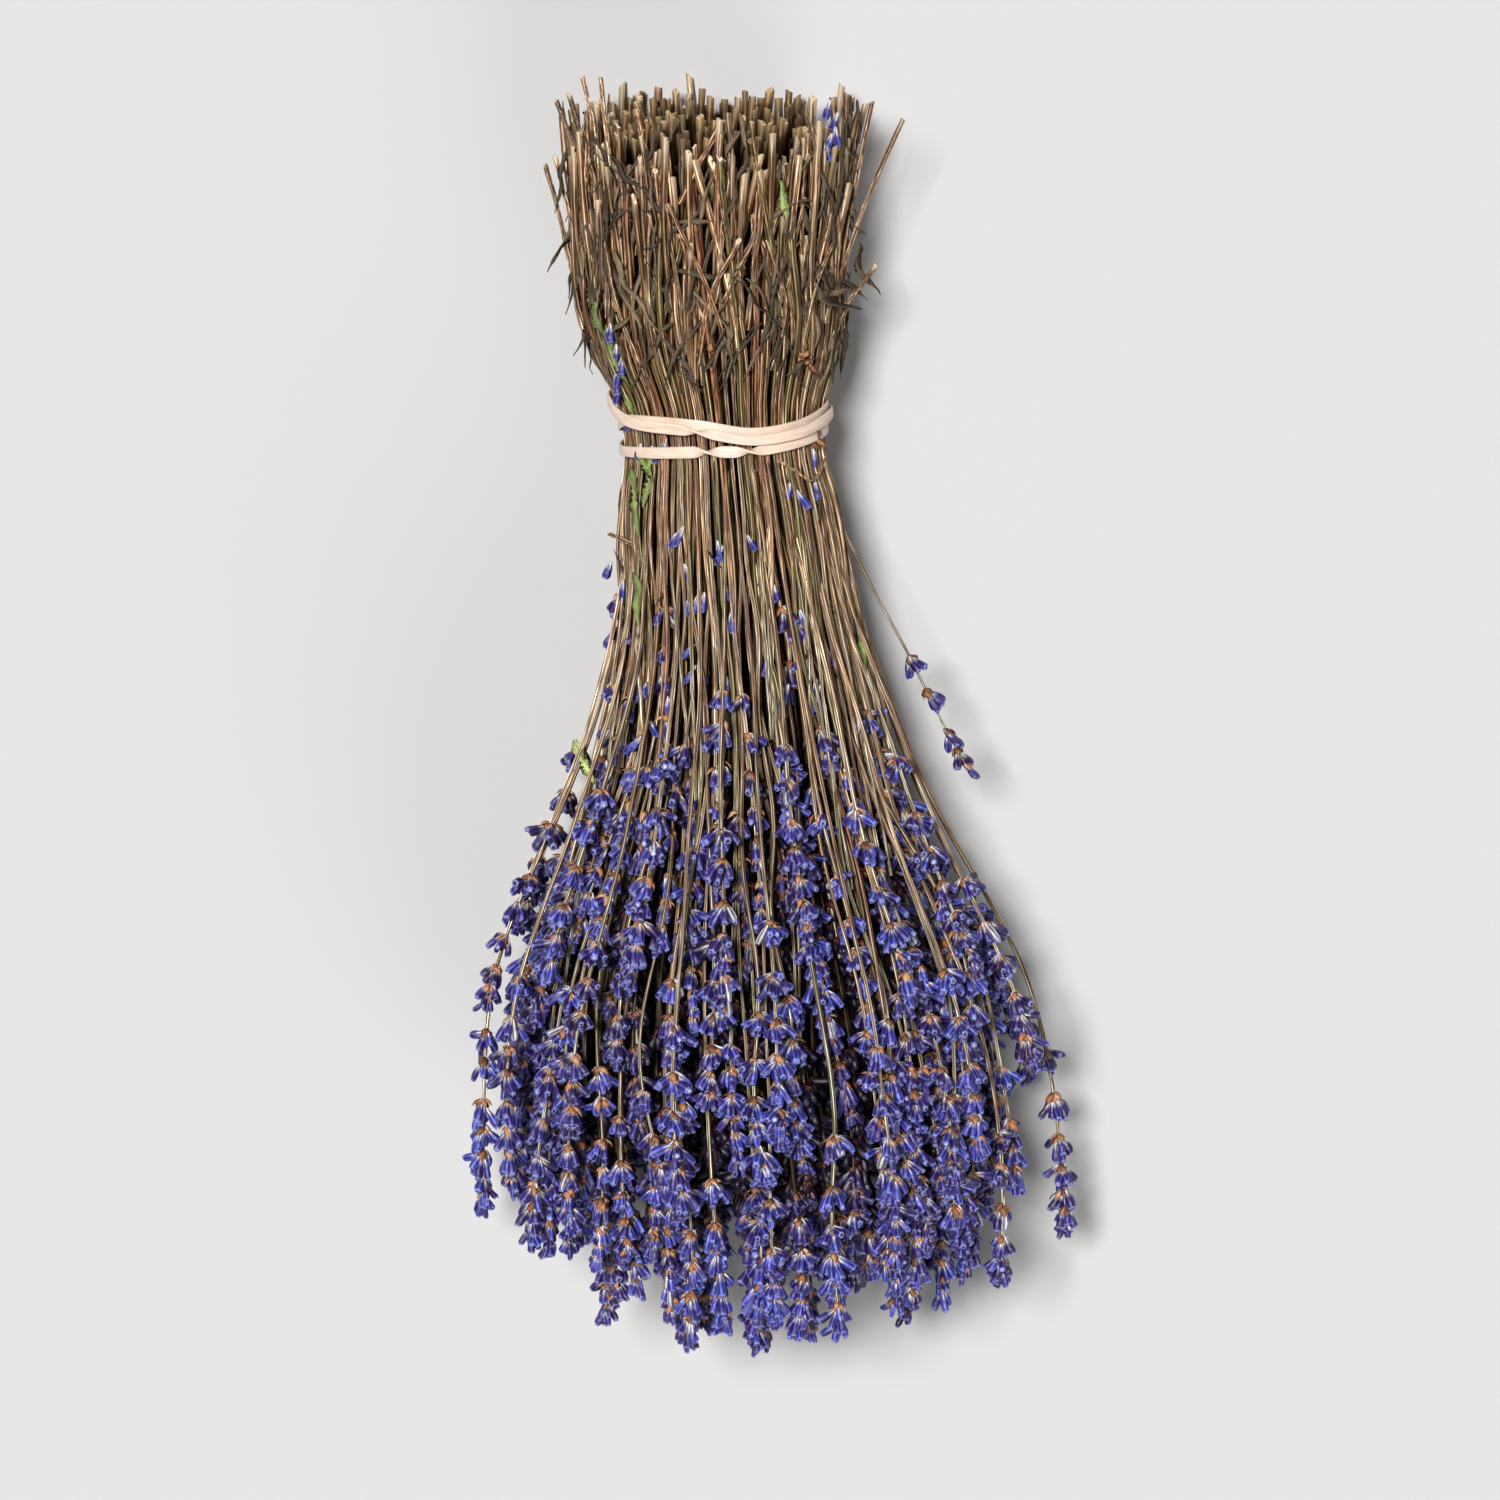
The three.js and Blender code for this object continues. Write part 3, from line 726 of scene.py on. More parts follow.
def sprig_path(sprig, y):
    """The middle of a sprig's stem at each y."""
    y = np.asarray(y, float)
    if sprig.side is not None:
        tip = sprig.flowers - sprig.whorls * WHORL_PITCH
        below = NECK_Y - NECK_REACH - y
        swollen = smooth(0, NECK_Y - NECK_REACH - sprig.flowers, below)
        along = np.clip(below / (NECK_Y - NECK_REACH - tip), 0, 1)
        lift = (STEM_RADIUS * (1 - swollen) + WHORL_RADIUS * swollen + GAP
                + sprig.lean_out * along ** LEAN_BEND)
        free = smooth(0, SINGLE_FREE_OVER, below)
        free = free + smooth(NECK_Y + NECK_REACH, SINGLE_FREE_ABOVE, y)
        return on_surface(sprig.side, y, lift) + 0.5 * sprig.sway(y) * free[:, None]
    head = smooth(HEAD_FROM, HEAD_TO, y)[:, None]
    cut = smooth(CUT_FROM, CUT_TO, y)[:, None]
    share = sprig.neck + (sprig.head - sprig.neck) * head + (sprig.cut_share - sprig.neck) * cut
    share = share * (1 + spring(y))[:, None]
    free = smooth(NECK_Y - NECK_REACH, FREE_BELOW, y) + smooth(NECK_Y + NECK_REACH, FREE_ABOVE, y)
    leaning = np.clip((sprig.flowers + LEAN_BEFORE - y) / LEAN_OVER, 0, 2) ** LEAN_POWER
    kinked = np.clip(y - sprig.kink_y, 0, None)
    return (place(share[:, 0], share[:, 1], y) + sprig.sway(y) * free[:, None]
            + sprig.lean * leaning[:, None] + sprig.kink * kinked[:, None])


# How far apart whorls are on the whole, how much so at a spike's start and at its tip, and how far
# the last flowers reach past their whorl.
WHORL_SPACING = (6.0, 7.8)
FIRST_GAP, LAST_GAP = 1.9, 0.5
LAST_FLOWERS = 4.5


def whorl_places(rng, flowers, tip):
    """Where whorls sit along a spike: apart at its start and crowded at its tip."""
    count = max(2, round((flowers - tip) / rng.uniform(*WHORL_SPACING)))
    steps = np.linspace(FIRST_GAP, LAST_GAP, count) * rng.uniform(0.7, 1.35, count)
    steps[0] = 0
    gone = np.cumsum(steps)
    return flowers - gone / max(gone[-1], 1e-6) * (flowers - tip - LAST_FLOWERS)


def lowest_tip(shares):
    """How far down spikes reach at these shares of the outline."""
    return TIP_Y + SIDE_RISE * shares[..., 0] ** 2 + TOP_RISE * shares[..., 1] ** 2


def depth_of(points):
    """The painted shade: 0 for what lies near the outside of the bunch or by its tips, up to 1 deep
    inside.
    """
    shares = shares_of(points)
    out = np.linalg.norm(shares, axis=-1)
    from_tips = points[..., 1] - lowest_tip(shares)
    return (1 - smooth(*SHADED_SHARES, out)) * smooth(*SHADED_REACH, from_tips)


# The share of a full whorl's flowers in its outer and its inner ring, how far each ring's flowers
# tilt as a share of the opening, and how far from the stem's middle they begin.
OUTER_RING, INNER_RING = (0.66, 1.0, 0.6), (0.36, 0.42, 0.3)
# A slender spike is less open and has fewer flowers, and a spike deep inside has fewer as well.
SLENDER_OPENING, SLENDER_FULLNESS, INSIDE_FULLNESS = 0.62, 0.4, 0.7
BRACT_WIDTH = 0.46
FADED_SHARE, FADED_TONE, BLUEST_TONE = 0.012, 0.96, 0.92
VECTORS = ("base", "direction", "inward")


def fan(rng, number, turn, uneven, ahead):
    """Rays square to a stem's direction, spread round it from a turn on."""
    first, second = across(ahead, np.array((1.0, 0.1, 0.3)))
    angle = (np.arange(number) + rng.uniform(-uneven, uneven, number)) / number * 2 * math.pi
    angle = turn + angle
    return np.cos(angle)[:, None] * first + np.sin(angle)[:, None] * second


def add(parts, number, **values):
    """Adds this number of flowers or bracts to the lists of their values."""
    for key, value in values.items():
        shape = (number, 3) if key in VECTORS else (number,)
        parts.setdefault(key, []).append(np.broadcast_to(value, shape))


def joined(parts):
    """The lists of values, each as one array."""
    return {key: np.concatenate(values) for key, values in parts.items()}


def grow_spike(skin, rng, sprig, settings, sides):
    """All whorls of one flower spike."""
    habit = settings.flowers
    stations = whorl_places(rng, sprig.flowers, sprig.tip)
    middles = sprig_path(sprig, stations)
    onward = unit(sprig_path(sprig, stations - 1) - sprig_path(sprig, stations + 1))
    # Painted shade for whorls that lie deep in the bunch; the single sprigs have none.
    depths = depth_of(middles) if sprig.side is None else np.zeros(len(middles))
    opened = rng.uniform(0.7, 1.25) * (SLENDER_OPENING if sprig.slender else 1)
    inside = INSIDE_FULLNESS if sides < MIDDLE_SIDES else 1
    full = rng.uniform(0.75, 1.1) * (SLENDER_FULLNESS if sprig.slender else inside)
    tone = rng.uniform(0.15, 0.75)
    calyx_length = habit.calyx_length / MM * rng.uniform(0.9, 1.08)
    calyx_radius = habit.calyx_diameter / MM / 2
    bract_length = habit.bract_length / MM
    turn = rng.uniform(0, 2 * math.pi)
    calyces, bracts = {}, {}
    for k, (middle, ahead, depth) in enumerate(zip(middles, onward, depths)):
        late = k / max(len(stations) - 1, 1)
        ahead = unit(ahead + rng.normal(0, 0.13, 3))
        size = rng.uniform(0.86, 1.06) * (1 if late < 0.85 else 0.8)
        outer = habit.per_whorl * OUTER_RING[0] * (1.05 - 0.3 * late) + rng.uniform(-1.6, 1.2)
        inner = habit.per_whorl * INNER_RING[0] + rng.uniform(-0.9, 0.9)
        numbers = max(2, round(outer * full)), max(1, round(inner * full))
        turn += rng.uniform(0.5, 1.1)
        for number, (_, share, lift) in zip(numbers, (OUTER_RING, INNER_RING)):
            ray = fan(rng, number, turn, 0.45, ahead)
            turn += 0.6
            tilt = habit.opening * share * opened * (1.05 - 0.5 * late)
            tilt = np.clip(tilt + rng.normal(0, 0.26, number), 0.05, 1.45)[:, None]
            add(calyces, number,
                base=middle + ray * lift + ahead * rng.uniform(-0.9, 1.6, number)[:, None],
                direction=np.cos(tilt) * ahead + np.sin(tilt) * ray,
                inward=ahead - ray * 0.4 + rng.normal(0, 0.25, (number, 3)),
                length=calyx_length * size * rng.uniform(0.7, 1.1, number),
                radius=calyx_radius * size * rng.uniform(0.82, 1.12, number),
                tone=np.clip(rng.normal(tone, 0.24, number), 0, BLUEST_TONE), depth=depth)
        number = int(rng.integers(5, 8)) // (2 if sprig.slender else 1)
        ray = fan(rng, number, turn, 0.3, ahead)
        tilt = (rng.uniform(0.35, 1.25, number) * (1 - 0.3 * late))[:, None]
        add(bracts, number,
            base=middle + ray * 0.45 - ahead * rng.uniform(0.2, 1.1, number)[:, None],
            direction=np.cos(tilt) * ahead + np.sin(tilt) * ray, inward=ray - ahead * 0.3,
            length=bract_length * size * rng.uniform(0.7, 1.2, number),
            radius=bract_length * BRACT_WIDTH * size * rng.uniform(0.6, 1.1, number), depth=depth)
    calyces = joined(calyces)
    faded = rng.uniform(size=len(calyces["tone"])) < FADED_SHARE
    calyces["tone"] = np.where(faded, FADED_TONE, calyces["tone"])
    grow_calyces(skin, rng, calyces, sides)
    grow_bracts(skin, rng, joined(bracts))


# How much thinner a stem is below its cut end and again among the flowers, and between which Y.
BELOW_CUT, BELOW_CUT_Y = 0.36, (138, 84)
IN_HEAD, IN_HEAD_Y = 0.08, (60, -50)
# Past these shares of the outline a spike's flowers are made finer.
FINE_SHARE, MIDDLE_SHARE = 0.82, 0.6


def grow_sprig(skin, rng, sprig, settings, spot):
    """A stem and, unless it is bare, its flower spike."""
    steps = max(6, round((sprig.cut - sprig.tip) / STEM_SPACING))
    ys = np.linspace(sprig.cut, sprig.tip + 2, steps)
    path = sprig_path(sprig, ys)
    gone = (sprig.cut - ys) / (sprig.cut - sprig.flowers + 1e-6)
    in_flowers = np.clip((sprig.flowers - ys) / max(sprig.flowers - sprig.tip, 1), 0, 1)
    along = np.where(gone <= 1, 0.7 * np.minimum(gone, 1), 0.7 + 0.3 * in_flowers)
    thick = settings.stems.diameter / MM / 2 * sprig.thick
    narrower = BELOW_CUT * smooth(*BELOW_CUT_Y, ys) + IN_HEAD * smooth(*IN_HEAD_Y, ys)
    radius = thick * (1 - narrower) * (1 - 0.3 * in_flowers)
    radius = radius * (1 + 0.05 * np.sin(ys * 0.35 + sprig.tone * 40))
    grow_stem(skin, rng, path, radius, along, spot, sprig.tone, sprig.depth)
    if sprig.bare:
        return
    middle = sprig_path(sprig, np.array([(sprig.flowers + sprig.tip) / 2]))
    out = 1 if sprig.side is not None else np.linalg.norm(shares_of(middle))
    sides = FINE_SIDES if out > FINE_SHARE else MIDDLE_SIDES if out > MIDDLE_SHARE else PLAIN_SIDES
    grow_spike(skin, rng, sprig, settings, sides)


def handful_middles():
    """Each handful's shares of the outline, in the order of their names."""
    middles = []
    for ring, count in enumerate(RING_COUNTS):
        for spot in range(count):
            turn = (spot + 0.5 * (ring % 2)) / count * 2 * math.pi
            middles.append((RING_STEP * ring * math.cos(turn), RING_STEP * ring * math.sin(turn)))
    return np.array(middles)


def home_of(shares, full=()):
    """The index of the handful that shares of the outline belong to, and that isn't full."""
    away = np.linalg.norm(handful_middles() - shares, axis=1)
    away[list(full)] = np.inf
    return int(np.argmin(away))


def stem_places(rng):
    """Where stems pass through the neck, and which of them are the outermost layer."""
    k = np.arange(INNER_STEMS)
    reach = 0.985 * np.sqrt((k + 0.5) / INNER_STEMS)
    turn = k * math.pi * (3 - math.sqrt(5))
    inner = np.stack([reach * np.cos(turn), reach * np.sin(turn)], 1)
    inner += rng.normal(0, 0.014, inner.shape)
    taken = np.radians([sprig[0] for sprig in OUTER_SPRIGS])
    count = OUTER_LAYER_STEMS + len(taken)
    free = list((np.arange(count) + 0.5) / count * 2 * math.pi)
    for side in taken:
        gap = [abs(math.remainder(side - other, 2 * math.pi)) for other in free]
        free.pop(int(np.argmin(gap)))
    free = np.array(free) + rng.normal(0, 0.014, len(free))
    share = (OUTER_LAYER_SHARE + rng.normal(0, 0.012, len(free)))[:, None]
    outer = share * np.stack([np.cos(free), np.sin(free)], 1)
    neck = np.concatenate([inner, outer])
    return neck, np.arange(len(neck)) >= len(inner)


def find_room(rng, neck, outermost_layer, length, slender, spikes):
    """Of some tries, the one with most room for a spike.

    It gives where the flowers begin, the spike's shares of the outline, and points along it.
    """
    reach = np.linalg.norm(neck)
    toward = neck / max(reach, 1e-6)
    highest = FLOWERS_Y + FLOWERS_RISE * min(reach, 1.0) ** 2 + slender * rng.uniform(0, 36)
    from_finger = (FINGERS - neck[0])[np.argmin(abs(FINGERS - neck[0]))]
    shorter = FINGER_RISE * smooth(0, FINGER_REACH, abs(from_finger))
    lowest = lowest_tip(neck) + shorter + length + rng.uniform(-4, 7)
    most, best = -1, None
    for _ in range(SPIKE_TRIES):
        start = highest + (lowest - highest) * rng.uniform() ** 0.85 * (0.25 if slender else 1)
        if outermost_layer:
            spread = toward * rng.uniform(0.80, 0.985)
        else:
            spread = neck * rng.uniform(0.93, 1.03)
        spread = spread + rng.normal(0, 0.038, 2) + (FINGER_PULL * from_finger, 0)
        spread *= min(1, 0.99 / np.linalg.norm(spread))
        ys = start - length * np.array((0.15, 0.5, 0.85))
        spots = place(spread[0], spread[1], ys) * (1, 0.55, 1)
        room = 1e3 if not spikes else np.linalg.norm(
            np.concatenate(spikes)[:, None] - spots[None], axis=-1).min()
        if room > most:
            most, best = room, (start, spread, spots)
    return best


def sow(rng, neck, outermost_layer, spikes, settings):
    """One sprig of a handful, where there is room beside the spikes that are there already."""
    out = min(np.linalg.norm(neck), 1.0)
    toward = neck / max(np.linalg.norm(neck), 1e-6)
    bare = rng.uniform() < (BARE_SHARE if out > 0.5 else 2 * BARE_SHARE)
    length = settings.flowers.spike_length / MM * rng.uniform(0.66, 1.22)
    slender = rng.uniform() < SLENDER_SHARE
    start, spread, spots = find_room(rng, neck, outermost_layer, length, slender, spikes)
    if not bare:
        spikes.append(spots)
    lean = rng.normal(0, 3.2, 3) * (1, 0, 1)
    if lean[[0, 2]] @ toward > 0:
        lean *= 0.45
    cut = CUT_Y - CUT_SLANT * neck[1] + rng.normal(0, 2.6) - rng.exponential(4.5)
    if rng.uniform() < (0.34 if out > 0.9 else 0.12):
        cut -= rng.uniform(3, 50)
    cut_share = neck * (0.94 if outermost_layer else 0.99) + rng.normal(0, settings.stems.loose, 2)
    cut_share *= min(1, 1.03 / np.linalg.norm(cut_share))
    # Its depth is how much painted shade the stem gets: more the deeper it lies in the neck.
    return SimpleNamespace(
        side=None, neck=neck, head=spread, cut_share=cut_share, cut=cut, flowers=start,
        tip=start - length if not bare else start + rng.uniform(-30, 60), bare=bare,
        slender=slender, lean=lean, kink=rng.normal(0, 0.05, 3) * (1, 0, 1),
        kink_y=rng.uniform(104, 150), sway=swaying(rng, settings.stems.sway / MM),
        thick=rng.uniform(0.7, 1.14), tone=rng.uniform(), depth=float(1 - smooth(0.8, 0.99, out)))


def plant(settings):
    """Every sprig of the handfuls, each with the index of the handful that it belongs to."""
    rng = np.random.default_rng(SEED)
    neck, outermost_layer = stem_places(rng)
    sprigs, spikes = [], []
    members = np.zeros(sum(RING_COUNTS), int)
    for i in rng.permutation(len(neck)):
        home = home_of(neck[i], np.flatnonzero(members >= MOST_SPRIGS))
        members[home] += 1
        sprigs.append((home, sow(rng, neck[i], outermost_layer[i], spikes, settings)))
    return sprigs


def bent(rng, points, count, wander):
    """A smooth line through points, that wanders a little between them."""
    points = np.array(points, float)
    gone = np.concatenate([[0], np.cumsum(np.linalg.norm(np.diff(points, axis=0), axis=1))])
    at = np.linspace(0, gone[-1], count)
    line = np.moveaxis(curve_at(gone, points, at), 0, -1)
    waves = rng.uniform(9, 30, (2, 3))
    phases = rng.uniform(0, 2 * math.pi, (2, 3))
    return line + (wander * np.sin(at[:, None, None] / waves * 2 * math.pi + phases)).sum(1) / 2


# The start, the middle and the end of a line.
LINE = np.array((0.0, 0.5, 1.0))


class Strays:
    """What lies loose between and over the stems. Each part belongs to the handful next to it."""

    def __init__(self, skins, settings):
        self.skins, self.settings = skins, settings
        self.rng = np.random.default_rng((SEED, 200))

    def skin_at(self, point):
        """The skin of the handful that a point belongs to."""
        return self.skins[home_of(shares_of(point))]

    def bare_stem(self, nearest, path, thickness, grain, tones, taper=1.0):
        """A stem without flowers, its thickness and tone from the ranges given."""
        rng = self.rng
        radius = self.settings.stems.diameter / MM / 2 * rng.uniform(*thickness) * taper
        grow_stem(self.skin_at(nearest), rng, path, radius, np.linspace(*grain, len(path)),
                  int(rng.integers(*STRAY_TILES)), rng.uniform(*tones), 0.0)

    def leaf(self, nearest, points, count, wander, widths, finish=LEAF):
        """A leaf along a line through points, its width from the range given."""
        path = bent(self.rng, points, count, wander)
        width = self.rng.uniform(*widths) if isinstance(widths, tuple) else widths
        nearest = path[0] if nearest is None else nearest
        grow_leaf(self.skin_at(nearest), self.rng, path, width, finish)

    def loose_ends(self):
        """Stems and twigs that stand out by themselves."""
        for points in STRAY_STEMS + TWIGS:
            path = bent(self.rng, [on_top(*point) for point in points], 16, 0.12)[::-1]
            taper = np.linspace(0.85, 1, len(path)) * (0.5 if points in TWIGS else 1)
            self.bare_stem(path[-1], path, (0.6, 0.85), (0, 0.55), (0.4, 0.9), taper)

    def crossing_leaves(self):
        """Dark leaves across the stems, and green blades along them."""
        rng = self.rng
        for start, end, width in CROSSING_LEAVES:
            middle = (np.array(start) + end) / 2 + rng.normal(0, 1.5, 2)
            points = [on_top(*start, 0.2), on_top(*middle, rng.uniform(0.3, 1.5)),
                      on_top(*end, rng.uniform(0, 2))]
            self.leaf(points[1], points, 16, 0.7, width)
        for start, end in GREEN_BLADES:
            under_band = UNDER_BAND[0] < max(start[1], end[1]) < UNDER_BAND[1]
            lift = -0.8 if under_band else 0.9
            middle = (np.array(start) + end) / 2
            points = [on_top(*start, lift), on_top(*middle, lift + 0.6), on_top(*end, 0.9)]
            self.leaf(points[1], points, 14, 0.7, (2.2, 3.4), GREEN)

    def dried_leaves(self):
        """Shrivelled leaves by the cut ends, and fewer and smaller ones below the band."""
        rng = self.rng
        for _ in range(LEAVES):
            side = rng.uniform(0, 2 * math.pi)
            above = rng.uniform() < LEAVES_ABOVE
            y = rng.uniform(*(LEAF_Y_ABOVE if above else LEAF_Y_BELOW))
            long, angle = rng.uniform(7, 32) * (1 if above else 0.5), rng.normal(0, 0.38)
            down = 1 if rng.uniform() < 0.7 or y > 140 else -1
            lift = rng.uniform(0.1, 1.8)
            lifts = lift + abs(rng.normal(0, 1.5)) * np.array((0.0, 0.3, 1.0))
            ys = y - down * long * math.cos(angle) * LINE
            low, high = CLEAR_OF_BAND
            ys += max(0, high - ys.min()) if above else min(0, low - ys.max())
            sides = side + long * math.sin(angle) * LINE / 32
            points = on_stems(sides, ys, lifts)
            self.leaf(None, points, 14, 0.9, (0.5, 1.7 if above else 0.9))

    def stubs(self):
        """Short ends of stems that are cut lower or higher than the others."""
        rng = self.rng
        for _ in range(STUBS):
            side, cut = rng.uniform(0, 2 * math.pi), rng.uniform(*STUB_CUTS)
            ys = np.array((cut, rng.uniform(STUB_END, cut - 18)))
            sides = side + rng.normal(0, 0.09) * np.array((1.0, -1.0))
            path = bent(rng, on_stems(sides, ys, rng.uniform(-1.6, 1.9, 2)), 12, 0.25)
            self.bare_stem(path[0], path, (0.55, 0.95), (0, 0.3), (0, 1))

    def crossing_stems(self):
        """Thin stems that cross the others below the band."""
        rng = self.rng
        for _ in range(CROSSING_STEMS):
            side = rng.uniform(0, 2 * math.pi)
            ys = np.array((
                CROSSING_BEGINS, rng.uniform(*CROSSING_MIDDLES), rng.uniform(*CROSSING_ENDS)))
            sides = side + rng.normal(0, 0.16) * LINE
            path = bent(rng, on_stems(sides, ys, (-0.9, rng.uniform(0.5, 1.4), -1.5)), 22, 0.2)
            self.bare_stem(path[0], path, (0.4, 0.66), (0.4, 0.9), (0, 1))

    def scraps(self):
        """Crumpled papery scraps, each of some bracts."""
        rng, number = self.rng, 5
        for x, y in SCRAPS:
            ray = unit(rng.normal(0, 1, (number, 3)) * (1, 1, 0.5))
            base = np.tile(on_top(x, y, 0.3), (number, 1)) + ray * 0.4
            grow_bracts(self.skin_at(base[0]), rng, {
                "base": base, "direction": ray, "inward": np.tile((0, 0, 1.0), (number, 1)),
                "length": rng.uniform(2.0, 3.6, number), "radius": rng.uniform(0.8, 1.2, number),
                "depth": np.zeros(number)})

    def florets(self):
        """Flowers caught between the stems: one at each spot, or two at some below the band."""
        rng, sizes = self.rng, self.settings.flowers
        for x, y in FLORETS:
            number = 1 if y > SINGLE_FLORETS_ABOVE else int(rng.integers(1, 3))
            base = on_top(x + rng.normal(0, 0.8, number), y + rng.normal(0, 1.2, number), -0.6)
            heading = unit(np.stack([rng.normal(0, 0.35, number), np.full(number, -1.0),
                                     rng.normal(0, 0.12, number)], -1))
            length, radius = sizes.calyx_length / MM, sizes.calyx_diameter / MM / 2
            grow_calyces(self.skin_at(base[0]), rng, {
                "base": base, "direction": heading, "inward": np.tile((0.3, 0, -1.0), (number, 1)),
                "length": length * rng.uniform(0.75, 1.05, number),
                "radius": radius * rng.uniform(0.85, 1.1, number),
                "tone": rng.uniform(0.5, 0.8, number), "depth": np.zeros(number)}, FINE_SIDES)

    def grow(self):
        """All of them, in a fixed order, because they share one row of random numbers."""
        self.loose_ends()
        self.crossing_leaves()
        self.dried_leaves()
        self.stubs()
        self.crossing_stems()
        self.scraps()
        self.florets()


# ---- materials ----------------------------------------------------------------------------------

# Colours that go with the ones in the settings.
PALE_STEM, PITH = (0.32, 0.25, 0.15), (0.30, 0.19, 0.10)
FADED, MOST_FADED = (0.24, 0.21, 0.25), (0.30, 0.27, 0.28)
# A calyx's rim painted pale as a highlight, its mouth painted nearly black as shade, and the pale
# mouth that some have instead.
RIM_HIGHLIGHT, MOUTH_SHADE, PALE_MOUTH = (0.30, 0.34, 0.74), (0.010, 0.008, 0.04), (0.60, 0.62, 0.80)
DRY_EDGE, STAIN = (0.60, 0.40, 0.25), (0.45, 0.26, 0.13)
PALE_LEAF, PALE_BLADE = (0.20, 0.14, 0.08), (0.36, 0.44, 0.15)
# How much darker the deepest parts are painted, as painted shade, and how far apart two tones lie
# in the noise.
SHADE, TONES_APART = 0.86, 517.3


def new_material(name, roughness, specular=0.35):
    """A material with one Principled BSDF, its node tree and its shader."""
    material = bpy.data.materials.new(name)
    material.use_nodes = True
    tree = material.node_tree
    shader = tree.nodes["Principled BSDF"]
    shader.inputs["Roughness"].default_value = roughness
    shader.inputs["Specular IOR Level"].default_value = specular
    return material, tree, shader


def node(tree, kind, inputs=(), **settings):
    """A node with these settings. Inputs are numbers, colours or sockets to join."""
    made = tree.nodes.new(kind)
    for key, value in settings.items():
        setattr(made, key, value)
    for key, value in dict(inputs).items():
        if isinstance(value, bpy.types.NodeSocket):
            tree.links.new(value, made.inputs[key])
        else:
            made.inputs[key].default_value = value
    return made


def math_node(tree, operation, *values, clamp=False):
    """The result of one sum."""
    made = node(tree, "ShaderNodeMath", dict(enumerate(values)), operation=operation)
    made.use_clamp = clamp
    return made.outputs[0]


def ramp(tree, factor, stops):
    """A colour for each number. Stops are a place and a colour, or a place and a grey."""
    made = node(tree, "ShaderNodeValToRGB", {"Fac": factor})
    elements = made.color_ramp.elements
    while len(elements) < len(stops):
        elements.new(0.5)
    for element, (at, colour) in zip(elements, stops):
        element.position = at
        element.color = (colour,) * 3 + (1,) if isinstance(colour, (int, float)) else (*colour, 1)
    return made.outputs["Color"]


def mix(tree, factor, first, second, blend_type="MIX"):
    """Two colours mixed."""
    made = node(tree, "ShaderNodeMix", data_type="RGBA", blend_type=blend_type)
    for socket, value in ((0, factor), (6, first), (7, second)):
        if isinstance(value, bpy.types.NodeSocket):
            tree.links.new(value, made.inputs[socket])
        else:
            made.inputs[socket].default_value = value if socket == 0 else (*value, 1)
    return made.outputs[2]


def multiply(tree, first, second, share=1.0):
    """Two colours multiplied, wholly or by a share."""
    return mix(tree, share, first, second, "MULTIPLY")


def grain_group():
    """The shared effect: how dried plant matter is streaked along its grain and mottled.

    It reads the Grain map and the tone and depth of each part, so every stem and flower differs.
    """
    name = "Dried grain"
    if name in bpy.data.node_groups:
        return bpy.data.node_groups[name]
    tree = bpy.data.node_groups.new(name, "ShaderNodeTree")
    for label, value in (("Streak Length", 3.0), ("Streak Number", 1.2), ("Mottle Size", 2.0)):
        socket = tree.interface.new_socket(label, in_out="INPUT", socket_type="NodeSocketFloat")
        socket.default_value = value
    for label in ("Along", "Around", "Tone", "Light", "Streak", "Mottle", "Chance"):
        tree.interface.new_socket(label, in_out="OUTPUT", socket_type="NodeSocketFloat")
    given = tree.nodes.new("NodeGroupInput").outputs
    grain = node(tree, "ShaderNodeUVMap", uv_map="Grain").outputs[0]
    parts = node(tree, "ShaderNodeSeparateXYZ", {0: grain}).outputs
    tone = node(tree, "ShaderNodeAttribute", attribute_name="tone").outputs["Fac"]
    depth = node(tree, "ShaderNodeAttribute", attribute_name="depth").outputs["Fac"]
    # Painted shade: what lies deep inside the bunch is painted darker, by SHADE at most.
    light = math_node(tree, "SUBTRACT", 1.0, math_node(tree, "MULTIPLY", depth, SHADE))
    angle = math_node(tree, "MULTIPLY", parts[1], 2 * math.pi)
    across_x, across_y = (math_node(tree, turn, angle) for turn in ("COSINE", "SINE"))
    offset = math_node(tree, "MULTIPLY", tone, TONES_APART)

    def noise(stretch, number, scale, detail):
        """Noise round the skin and along it, in another place for each tone."""
        x, y = across_x, across_y
        if number is not None:
            x, y = (math_node(tree, "MULTIPLY", part, number) for part in (x, y))
        z = math_node(tree, "MULTIPLY_ADD", parts[0], stretch, offset)
        at = node(tree, "ShaderNodeCombineXYZ", {0: x, 1: y, 2: z}).outputs[0]
        return node(tree, "ShaderNodeTexNoise", {"Vector": at, "Scale": scale, "Detail": detail})

    streak = noise(given["Streak Length"], given["Streak Number"], 2.2, 3.0)
    mottle = noise(given["Mottle Size"], None, 1.0, 2.0)
    chance = node(tree, "ShaderNodeTexWhiteNoise", {"W": offset}, noise_dimensions="1D")
    out = tree.nodes.new("NodeGroupOutput").inputs
    found = (parts[0], parts[1], tone, light, streak.outputs["Fac"], mottle.outputs["Fac"],
             chance.outputs["Value"])
    for socket, value in zip(out, found):
        tree.links.new(value, socket)
    return tree


def grain_node(tree, **values):
    """The shared grain effect with this material's own values."""
    made = node(tree, "ShaderNodeGroup", node_tree=grain_group())
    for key, value in values.items():
        made.inputs[key.replace("_", " ").title()].default_value = value
    return made.outputs


def wave(tree, grain, crests):
    """A cosine with this many crests round a skin."""
    angle = math_node(tree, "MULTIPLY", grain["Around"], crests * 2 * math.pi)
    return math_node(tree, "COSINE", angle)


def scaled(colour, *amounts):
    """A colour made darker or lighter, as a whole or each part by its own amount."""
    amounts = amounts * 3 if len(amounts) == 1 else amounts
    return tuple(min(1.0, part * amount) for part, amount in zip(colour, amounts))


